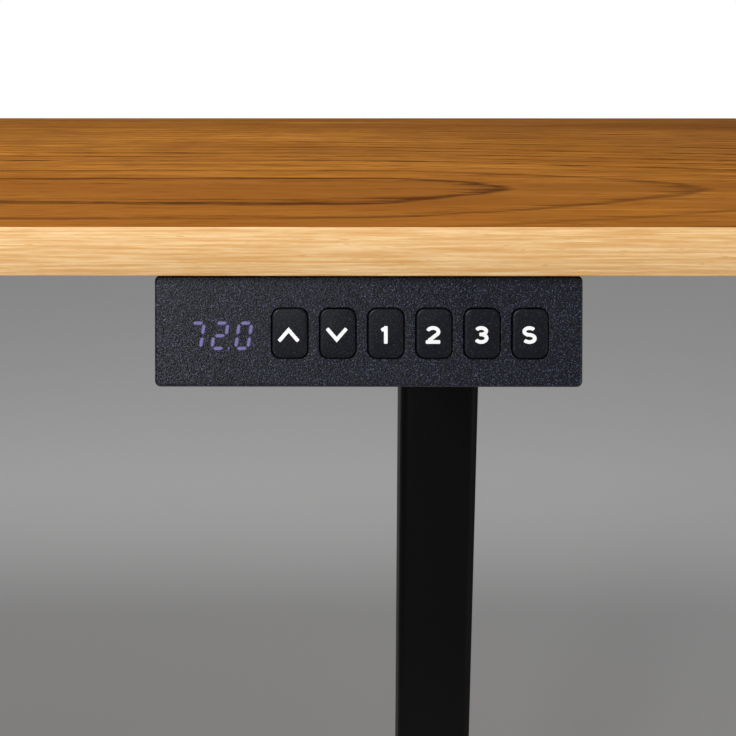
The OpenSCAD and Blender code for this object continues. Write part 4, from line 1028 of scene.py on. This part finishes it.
class DESK_OT_buttons(bpy.types.Operator):
    """Shape the six button caps and print a legend on each"""
    bl_idname = "desk.buttons"
    bl_label = "Buttons"

    def execute(self, context):
        keypad = context.scene.desk_keypad
        for key in BUTTONS:
            name = "button_" + key
            front = max(v.co.dot(OUT) for v in frame["nodes"][name].data.vertices)

            def radius_at(a, b):
                return keypad.cap_round if min(a.dot(OUT), b.dot(OUT)) > front - WELD else 0.0

            mesh = softened(name, keypad.cap_round, 5, radius_at, clamp=False)
            add_piece(name + ".finish", mesh, "button_plastic", body_of(name), [name])
            origin = on_face(-0.35 * MM, -0.5 * MM, 0, button_centre(key))
            shell = bmesh.new()
            strokes = legend_strokes(key, keypad.figure_height, keypad.figure_stroke, keypad.arrow_width)
            for k, points in enumerate(strokes):
                left, right = stroke_sides(points, keypad.figure_stroke)
                add_strip(shell, left, right, keypad.ink_height * (1 + 0.1 * k), origin)
            bmesh.ops.recalc_face_normals(shell, faces=shell.faces)
            add_piece("legend_" + key, as_mesh(shell), "button_plastic", body_of(name),
                      material=finishes(context.scene)["legend_ink"])
        return {"FINISHED"}


class DESK_OT_digits(bpy.types.Operator):
    """Light the three seven-segment digits and the point behind the keypad's face"""
    bl_idname = "desk.digits"
    bl_label = "Lit digits"

    def execute(self, context):
        keypad = context.scene.desk_keypad
        shell = bmesh.new()
        layer = shell.verts.layers.float.new("glow")
        middle = centre("keypad_display")
        across = middle.x - FACE_TOP.x
        down = middle.dot(UP) - FACE_TOP.dot(UP)
        half = (keypad.digit_height - keypad.segment_width) / 2
        wide = 0.98 * half
        lean = math.tan(math.radians(8.5))
        fade = 0.22 * keypad.segment_width

        def slanted(x, z):
            return Vector((x + z * lean, z))

        for place, figure in enumerate("720"):
            left = (place - 1) * keypad.digit_pitch - wide / 2
            for segment in SEGMENTS[figure]:
                (x0, z0), (x1, z1) = SEGMENT_ENDS[segment]
                a = Vector((left + x0 * wide, z0 * half))
                b = Vector((left + x1 * wide, z1 * half))
                along = (b - a).normalized()
                side = Vector((-along.y, along.x))
                rings = []
                for w in (keypad.segment_width / 2, keypad.segment_width / 2 - fade):
                    gap = 0.75 * keypad.segment_width - w
                    tip_a, tip_b = a + along * gap, b - along * gap
                    ring = [tip_a, tip_a + along * w - side * w, tip_b - along * w - side * w, tip_b,
                            tip_b - along * w + side * w, tip_a + along * w + side * w]
                    rings.append([slanted(p.x, p.y) for p in ring])
                origin = on_face(across, down, 0, FACE_TOP)
                add_glowing_plate(shell, layer, *rings, keypad.ink_height, origin)
        dot = slanted(keypad.digit_pitch / 2 - 0.1 * wide, -half)
        rings = [[dot + 0.32 * keypad.segment_width * s * Vector((math.cos(a), math.sin(a)))
                  for a in (math.tau * k / 10 for k in range(10))] for s in (1.0, 0.4)]
        add_glowing_plate(shell, layer, *rings, keypad.ink_height, on_face(across, down, 0, FACE_TOP))
        bmesh.ops.recalc_face_normals(shell, faces=shell.faces)
        add_piece("lit_digits", as_mesh(shell), "keypad_plastic", "top",
                  material=finishes(context.scene)["lit_plastic"])
        return {"FINISHED"}


class DESK_OT_columns(bpy.types.Operator):
    """Finish the telescopic columns, their guide collars and what slides in them"""
    bl_idname = "desk.columns"
    bl_label = "Columns"

    def execute(self, context):
        steel = context.scene.desk_frame
        # The columns' darker paint is painted shade: the same powder coat as the frame, made darker.
        soft_pieces(["left_lower_column", "right_lower_column", "left_upper_column", "right_upper_column"],
                    "column_paint", 0.3 * MM)
        soft_pieces(["guide_collars"], "black_plastic", steel.moulding_round)
        soft_pieces(["slide_blocks", "lift_nuts"], "acetal", 0.4 * MM)
        painted(["nut_posts"], "ground_steel")
        return {"FINISHED"}


class DESK_OT_feet(bpy.types.Operator):
    """Finish the two T feet and their end caps"""
    bl_idname = "desk.feet"
    bl_label = "Feet"

    def execute(self, context):
        steel = context.scene.desk_frame
        soft_pieces(["foot_left", "foot_right"], "frame_paint", steel.moulding_round, 3)
        soft_pieces(["foot_end_caps"], "black_plastic", 1.2 * MM, 3)
        return {"FINISHED"}


class DESK_OT_levellers(bpy.types.Operator):
    """Turn the four levelling pads: ribs round the pad, a hexagon to turn it by and a threaded stud"""
    bl_idname = "desk.levellers"
    bl_label = "Levelling pads"

    def execute(self, context):
        steel = context.scene.desk_frame
        tree = ribs_tree()
        for end in ("front", "back"):
            for side in ("left", "right"):
                name = f"leveller_{end}_{side}"
                low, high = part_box(name)
                middle = (low + high) / 2
                radius = (high.x - low.x) / 2
                shell = bmesh.new()
                lathed(shell, pad_profile(radius), Matrix.Identity(4), 48)
                lathed(shell, hexagon_profile(), Matrix.Identity(4), 6)
                lathed(shell, stud_profile(high.z), Matrix.Identity(4), 20)
                bmesh.ops.recalc_face_normals(shell, faces=shell.faces)
                thing = temporary(as_mesh(shell))
                modifier_with(thing, tree, {
                    "Radius": radius - 0.7 * MM, "Count": steel.pad_ribs, "Rib Width": 1.3 * MM,
                    "Rib Height": 2.4 * MM, "Lift": 2.3 * MM,
                    "Material": finishes(context.scene)["foot_rubber"]})
                mesh = applied(thing)
                mesh.transform(Matrix.Translation((middle.x, middle.y, 0)))
                mesh.shade_smooth()
                mesh.set_sharp_from_angle(angle=SMOOTH_ANGLE)
                add_piece(name + ".finish", mesh, "foot_rubber", body_of(name), [name])
        return {"FINISHED"}


def pad_profile(radius):
    """The pad from its underside to the top of its dome."""
    return [(0, 0.8 * MM), (radius - 4 * MM, 0.8 * MM), (radius - 4 * MM, 0), (radius - 1.8 * MM, 0),
            (radius - 1.0 * MM, 0.3 * MM), (radius - 0.7 * MM, 1.0 * MM), (radius - 0.7 * MM, 3.6 * MM),
            (radius - 1.0 * MM, 4.1 * MM), (radius - 3.5 * MM, 5.6 * MM), (radius - 5.0 * MM, 6.0 * MM),
            (0, 6.0 * MM)]


def hexagon_profile():
    """The hexagon above the pad, its upper corners chamfered."""
    corner, low, high, chamfer = 13 * MM / math.sqrt(3), 5.9 * MM, 15.7 * MM, 0.8 * MM
    return [(0, low), (corner, low), (corner, 14.9 * MM), (corner - chamfer, high), (0, high)]


def stud_profile(top, radius=4 * MM, pitch=1.25 * MM):
    """A threaded stud as a row of turns, which reads as its thread."""
    low = 15.6 * MM
    turns = int((top - low) / pitch)
    profile = [(0, low), (radius - 0.6 * MM, low)]
    for k in range(turns):
        profile += [(radius, low + (k + 0.5) * pitch), (radius - 0.6 * MM, low + (k + 1) * pitch)]
    return profile + [(0, low + turns * pitch)]


class DESK_OT_head_frame(bpy.types.Operator):
    """Finish the frame under the top: brackets, rails and leg heads"""
    bl_idname = "desk.head_frame"
    bl_label = "Head frame"

    def execute(self, context):
        steel = context.scene.desk_frame
        sheets = ["left_bracket", "right_bracket", "front_rail", "back_rail"]
        soft_pieces(sheets, "frame_paint", steel.sheet_round)
        soft_pieces(["left_leg_head", "right_leg_head"], "cast_head", steel.cast_round)
        return {"FINISHED"}


class DESK_OT_drive(bpy.types.Operator):
    """Finish the drive: motor, gearbox, shafts, gears, bearings and bushes"""
    bl_idname = "desk.drive"
    bl_label = "Drive"

    def execute(self, context):
        steel = context.scene.desk_frame
        looks = finishes(context.scene)
        soft_pieces(["gearbox_case"], "cast_head", steel.cast_round)
        soft_pieces(["gearbox_cover", "motor_end_cap"], "black_plastic", steel.moulding_round)
        soft_pieces(["motor_can"], "motor_steel", 0.8 * MM, 3)
        painted(["left_lead_screw", "right_lead_screw"], "ground_steel", looks["screw_steel"])
        painted(["hex_shaft", "screw_bearings"], "ground_steel")
        painted(["left_screw_gear", "right_screw_gear", "shaft_gears", "motor_rotor"], "gear_steel")
        painted(["worm_wheel"], "acetal")
        painted(["bushes"], "bronze")
        return {"FINISHED"}


class DESK_OT_control_box(bpy.types.Operator):
    """Finish the control box, its sockets and its board"""
    bl_idname = "desk.control_box"
    bl_label = "Control box"

    def execute(self, context):
        steel = context.scene.desk_frame
        soft_pieces(["control_box_tray", "control_box_lid"], "black_plastic", steel.moulding_round)
        soft_pieces(["control_box_ports"], "black_plastic", 0.3 * MM)
        painted(["control_board"], "circuit_board")
        return {"FINISHED"}


# The leads' routes as in the design: x and y, and z from the desktop's underside, in millimetres
ROUTES = {
    "handset_lead": (
        (350, -275, -12), (350, -266, -12), (350, -250, -9), (350, -232, -5), (350, -210, -4.5),
        (350, -120, -4.5), (350, 0, -4.5), (350, 90, -4.5), (347, 108, -4.5), (340, 120, -4.5),
        (326, 125, -4.5), (250, 125, -4.5), (150, 125, -4.5), (125, 125, -6), (108, 125, -11),
        (97, 125, -14), (90, 125, -14)),
    "motor_lead": (
        (-342, -24, -12), (-334, -24, -12), (-322, -24, -9), (-306, -24, -5), (-290, -21, -4.5),
        (-278, -11, -4.5), (-275, 5, -4.5), (-275, 90, -4.5), (-272, 108, -4.5), (-264, 121, -4.5),
        (-248, 125, -4.5), (-185, 125, -4.5), (-165, 125, -6), (-148, 125, -11),
        (-137, 125, -14), (-130, 125, -14)),
}


def smooth_route(points, steps=5):
    """Points on a smooth curve through a route."""
    points = [Vector(p) for p in points]
    last = len(points) - 1
    made = []
    for k in range(last):
        a, b, c, d = points[max(k - 1, 0)], points[k], points[k + 1], points[min(k + 2, last)]
        for t in (s / steps for s in range(steps)):
            made.append((2 * b + (c - a) * t + (2 * a - 5 * b + 4 * c - d) * t * t
                         + (3 * b - a - 3 * c + d) * t ** 3) / 2)
    return made + [points[-1]]


class DESK_OT_leads(bpy.types.Operator):
    """Run the two leads under the top, with a ribbed strain relief at each end, and finish their clips"""
    bl_idname = "desk.leads"
    bl_label = "Leads and clips"

    def execute(self, context):
        cable = context.scene.desk_cable
        tree = tube_tree()
        for name, route in ROUTES.items():
            points = [Vector((x * MM, y * MM, TABLE_LOW.z + z * MM)) for x, y, z in route]
            line = bpy.data.curves.new(name, "CURVE")
            line.dimensions = "3D"
            path = smooth_route(points)
            spline = line.splines.new("POLY")
            spline.points.add(len(path) - 1)
            for point, place in zip(spline.points, path):
                point.co = (*place, 1)
            thing = temporary(line)
            modifier_with(thing, tree, {
                "Radius": cable.radius, "Sides": 18, "Material": finishes(context.scene)["lead_jacket"]})
            mesh = applied(thing)
            mesh.set_sharp_from_angle(angle=SMOOTH_ANGLE)
            add_piece(name + ".finish", mesh, "lead_jacket", "top", [name])
            shell = bmesh.new()
            lathed(shell, boot_profile(cable), aimed(points[0], points[1] - points[0]), 24)
            lathed(shell, boot_profile(cable), aimed(points[-1], points[-2] - points[-1]), 24)
            bmesh.ops.recalc_face_normals(shell, faces=shell.faces)
            boots = as_mesh(shell)
            boots.shade_smooth()
            boots.set_sharp_from_angle(angle=SMOOTH_ANGLE)
            add_piece(name.replace("lead", "boots"), boots, "lead_jacket", "top")
        soft_pieces(["cable_clips"], "black_plastic", 0.8 * MM)
        return {"FINISHED"}


def boot_profile(cable, ribs=5):
    """A tapered sleeve with grooves between its ribs, open round the lead."""
    inner = cable.radius * 0.98
    taper, groove = 0.05 * MM, 0.5 * MM
    pitch = cable.boot_length / ribs
    profile = [(inner, 0)]
    for k in range(ribs):
        outer = cable.radius * (1.62 - 0.10 * k)
        profile += [(outer, k * pitch), (outer - taper, (k + 0.66) * pitch),
                    (outer - groove, (k + 0.72) * pitch), (outer - groove, (k + 0.98) * pitch)]
    return profile + [(inner, cable.boot_length)]


HEAD_SIDES = 24


def head_rim(shell, height):
    """The corners round the top of a screw's head, in order."""
    outer = [v for v in shell.verts if abs(v.co.z + height) < WELD]
    outer.sort(key=lambda v: math.atan2(v.co.y, v.co.x))
    return outer


def recess(shell, outer, mouth, floor_):
    """The sunk socket of a screw's head, from the head's rim by its mouth to its floor."""
    for k in range(len(outer)):
        j = (k + 1) % len(outer)
        shell.faces.new((outer[k], outer[j], mouth[j], mouth[k]))
        shell.faces.new((mouth[k], mouth[j], floor_[j], floor_[k]))
    shell.faces.new(floor_)


def bolt_shell(length, head, shank, height, socket):
    """A socket-head bolt with its head's seat at the origin and its shank up +Z."""
    shell = bmesh.new()
    chamfer = 0.12 * height
    rim = [(shank, 0), (shank, length - 0.5 * MM), (shank - 0.5 * MM, length), (0, length)]
    lathed(shell, [(0.97 * head, 0), (head, -chamfer), (head, chamfer - height), (head - chamfer, -height)],
           Matrix.Identity(4), HEAD_SIDES)
    lathed(shell, [(0.97 * head, 0), *rim], Matrix.Identity(4), HEAD_SIDES)
    outer = head_rim(shell, height)
    corner = socket / math.sqrt(3)
    mouth, floor_ = [], []
    for v in outer:
        angle = math.atan2(v.co.y, v.co.x)
        share = (angle % (math.tau / 6)) - math.tau / 12
        radius = corner * math.cos(math.tau / 12) / math.cos(share)
        flat = Vector((radius * math.cos(angle), radius * math.sin(angle), -height))
        mouth.append(shell.verts.new(flat))
        floor_.append(shell.verts.new(flat + Vector((0, 0, 0.6 * height))))
    recess(shell, outer, mouth, floor_)
    return shell


def pan_screw_shell(length, head, shank, height):
    """A pan-head screw with a cross recess, its seat at the origin and its point up +Z."""
    shell = bmesh.new()
    lathed(shell, [(0.5 * head, -height), (0.78 * head, -0.9 * height), (0.94 * head, -0.62 * height),
                   (head, -0.2 * height), (0.97 * head, 0), (shank, 0), (shank, length - 2 * shank),
                   (0, length)], Matrix.Identity(4), HEAD_SIDES)
    outer = head_rim(shell, height)
    arm, half = 0.44 * head, 0.1 * head
    mouth, floor_ = [], []
    for v in outer:
        angle = math.atan2(v.co.y, v.co.x)
        c, s = math.cos(angle), math.sin(angle)
        along = max(abs(c), abs(s))
        beside = max(min(abs(c), abs(s)), 0.001)
        radius = max(min(arm / along, half / beside), half * math.sqrt(2))
        flat = Vector((radius * c, radius * s, -height))
        mouth.append(shell.verts.new(flat))
        floor_.append(shell.verts.new(Vector((0.6 * flat.x, 0.6 * flat.y, -0.35 * height))))
    recess(shell, outer, mouth, floor_)
    return shell


def screw_places(node_name, head):
    """Where each screw's seat is, which way it points and how long it is, from the node's separate solids."""
    places = []
    for points in islands(node_name):
        low = Vector([min(p[k] for p in points) for k in range(3)])
        high = Vector([max(p[k] for p in points) for k in range(3)])
        size = high - low
        axis = max(range(3), key=lambda k: size[k])
        middle = (low + high) / 2
        ends = [[p for p in points if abs(p[axis] - end[axis]) < 0.4 * MM] for end in (low, high)]
        spread = [max((p - middle)[(axis + 1) % 3] for p in end) for end in ends]
        heading = Vector((0, 0, 0))
        heading[axis] = 1.0 if spread[0] > spread[1] else -1.0
        tip = high if heading[axis] > 0 else low
        seat = middle.copy()
        seat[axis] = tip[axis] - heading[axis] * (size[axis] - head)
        places.append((seat, heading, round(size[axis] - head, 5)))
    return places


BOLT = (5 * MM, 3 * MM, 4 * MM, 5 * MM)
FASTENERS = (
    ("foot_bolts", "zinc_steel", 4.0 * MM, bolt_shell, BOLT),
    ("frame_bolts", "zinc_steel", 4.0 * MM, bolt_shell, BOLT),
    ("bracket_screws", "zinc_steel", 2.4 * MM, pan_screw_shell, (4 * MM, 2 * MM, 2.4 * MM)),
    ("small_screws", "black_screw", 2.4 * MM, pan_screw_shell, (3 * MM, 1.5 * MM, 2.4 * MM)),
)


class DESK_OT_fasteners(bpy.types.Operator):
    """Put a detailed screw or bolt in each of its places, each turned by chance"""
    bl_idname = "desk.fasteners"
    bl_label = "Fasteners"

    def execute(self, context):
        looks = finishes(context.scene)
        tree = screws_tree()
        for name, slot, head, maker, sizes in FASTENERS:
            by_length = {}
            for seat, heading, length in screw_places(name, head):
                by_length.setdefault(length, []).append((seat, heading))
            joined = bmesh.new()
            for seed, (length, places) in enumerate(sorted(by_length.items())):
                shell = maker(length, *sizes)
                bmesh.ops.recalc_face_normals(shell, faces=shell.faces)
                screw = temporary(as_mesh(shell))
                points = bpy.data.meshes.new("places")
                points.from_pydata([seat for seat, heading in places], [], [])
                aim = points.attributes.new("aim", "FLOAT_VECTOR", "POINT")
                for value, (seat, heading) in zip(aim.data, places):
                    value.vector = heading.to_track_quat("Z", "Y").to_euler()
                thing = temporary(points)
                modifier_with(thing, tree, {
                    "Screw": screw, "Size": 1.0, "Seed": seed, "Material": looks[slot]})
                joined.from_mesh(applied(thing))
                bpy.data.objects.remove(screw)
            mesh = as_mesh(joined)
            mesh.shade_smooth()
            mesh.set_sharp_from_angle(angle=SMOOTH_ANGLE)
            add_piece(name + ".finish", mesh, slot, body_of(name), [name])
        return {"FINISHED"}


# Each light's name, its place from the desktop's front edge above the keypad, and its width.
LIGHTS = (("key", (-0.80, -0.62, 1.15), 0.70), ("side", (0.90, -0.28, -0.12), 0.30),
          ("front", (-0.52, -1.04, 0.33), 0.30))


def area_light(name, place, target, size, power):
    """A round soft light aimed at the target."""
    data = bpy.data.lights.new(name, "AREA")
    data.shape = "DISK"
    data.size = size
    data.energy = power
    lamp = bpy.data.objects.new(name, data)
    lamp.location = place
    lamp.rotation_euler = (Vector(target) - Vector(place)).to_track_quat("-Z", "Y").to_euler()
    bpy.context.scene.collection.objects.link(lamp)


class DESK_OT_stage(bpy.types.Operator):
    """Set the plain floor, the soft lights and the camera"""
    bl_idname = "desk.stage"
    bl_label = "Stage"

    def execute(self, context):
        scene = context.scene
        stage = scene.desk_stage
        keypad_x = (KEYPAD_LOW.x + KEYPAD_HIGH.x) / 2
        target = Vector((keypad_x, FRONT_EDGE, TABLE_LOW.z))
        mesh = bpy.data.meshes.new("floor")
        reach = 12.0
        mesh.from_pydata([(-reach, -reach, 0), (reach, -reach, 0), (reach, reach, 0), (-reach, reach, 0)], [],
                         [(0, 1, 2, 3)])
        mesh.materials.append(floor_finish(stage))
        floor = bpy.data.objects.new("floor", mesh)
        scene.collection.objects.link(floor)

        world = bpy.data.worlds.new("Studio")
        world.use_nodes = True
        tree = world.node_tree
        seen = node(tree, "ShaderNodeLightPath").outputs["Is Camera Ray"]
        background = tree.nodes["Background"].inputs
        background["Color"].default_value = (1, 1, 1, 1)
        tree.links.new(remapped(tree, seen, 0.0, 1.0, stage.sky, stage.backdrop), background["Strength"])
        scene.world = world
        scene.view_settings.view_transform = "Standard"
        for name, offset, size in LIGHTS:
            area_light(name, target + Vector(offset), target, size, getattr(stage, name + "_power"))

        camera = bpy.data.cameras.new("camera")
        camera.sensor_width = 36
        camera.lens = stage.lens
        camera.clip_start = 0.01
        holder = bpy.data.objects.new("camera", camera)
        holder.location = (keypad_x + stage.aside, FRONT_EDGE - stage.distance, TABLE_HIGH.z + stage.height)
        level = Vector((math.sin(stage.turn) * math.cos(stage.pitch),
                        math.cos(stage.turn) * math.cos(stage.pitch), -math.sin(stage.pitch)))
        holder.rotation_euler = level.to_track_quat("-Z", "Y").to_euler()
        scene.collection.objects.link(holder)
        scene.camera = holder
        return {"FINISHED"}


OPERATORS = (
    DESK_OT_board, DESK_OT_housing, DESK_OT_buttons, DESK_OT_digits, DESK_OT_columns, DESK_OT_feet,
    DESK_OT_levellers, DESK_OT_head_frame, DESK_OT_drive, DESK_OT_control_box, DESK_OT_leads,
    DESK_OT_fasteners, DESK_OT_stage,
)


class DESK_PT_panel(bpy.types.Panel):
    """Sizes, colours and steps of the desk"""
    bl_idname = "DESK_PT_panel"
    bl_label = "Standing Desk"
    bl_space_type = "VIEW_3D"
    bl_region_type = "UI"
    bl_category = "Desk"

    def draw(self, context):
        for name, settings in SETTINGS.items():
            box = self.layout.box()
            for key in settings.__annotations__:
                box.prop(getattr(context.scene, name), key)
        for operator in OPERATORS:
            self.layout.operator(operator.bl_idname)


def register():
    for cls in (*SETTINGS.values(), *OPERATORS, DESK_PT_panel):
        bpy.utils.register_class(cls)
    for name, settings in SETTINGS.items():
        setattr(bpy.types.Scene, name, bpy.props.PointerProperty(type=settings))


def unregister():
    for name in SETTINGS:
        delattr(bpy.types.Scene, name)
    for cls in reversed((*SETTINGS.values(), *OPERATORS, DESK_PT_panel)):
        bpy.utils.unregister_class(cls)


def main():
    register()
    for operator in OPERATORS:
        group, name = operator.bl_idname.split(".")
        getattr(getattr(bpy.ops, group), name)()


if __name__ == "__main__":
    main()
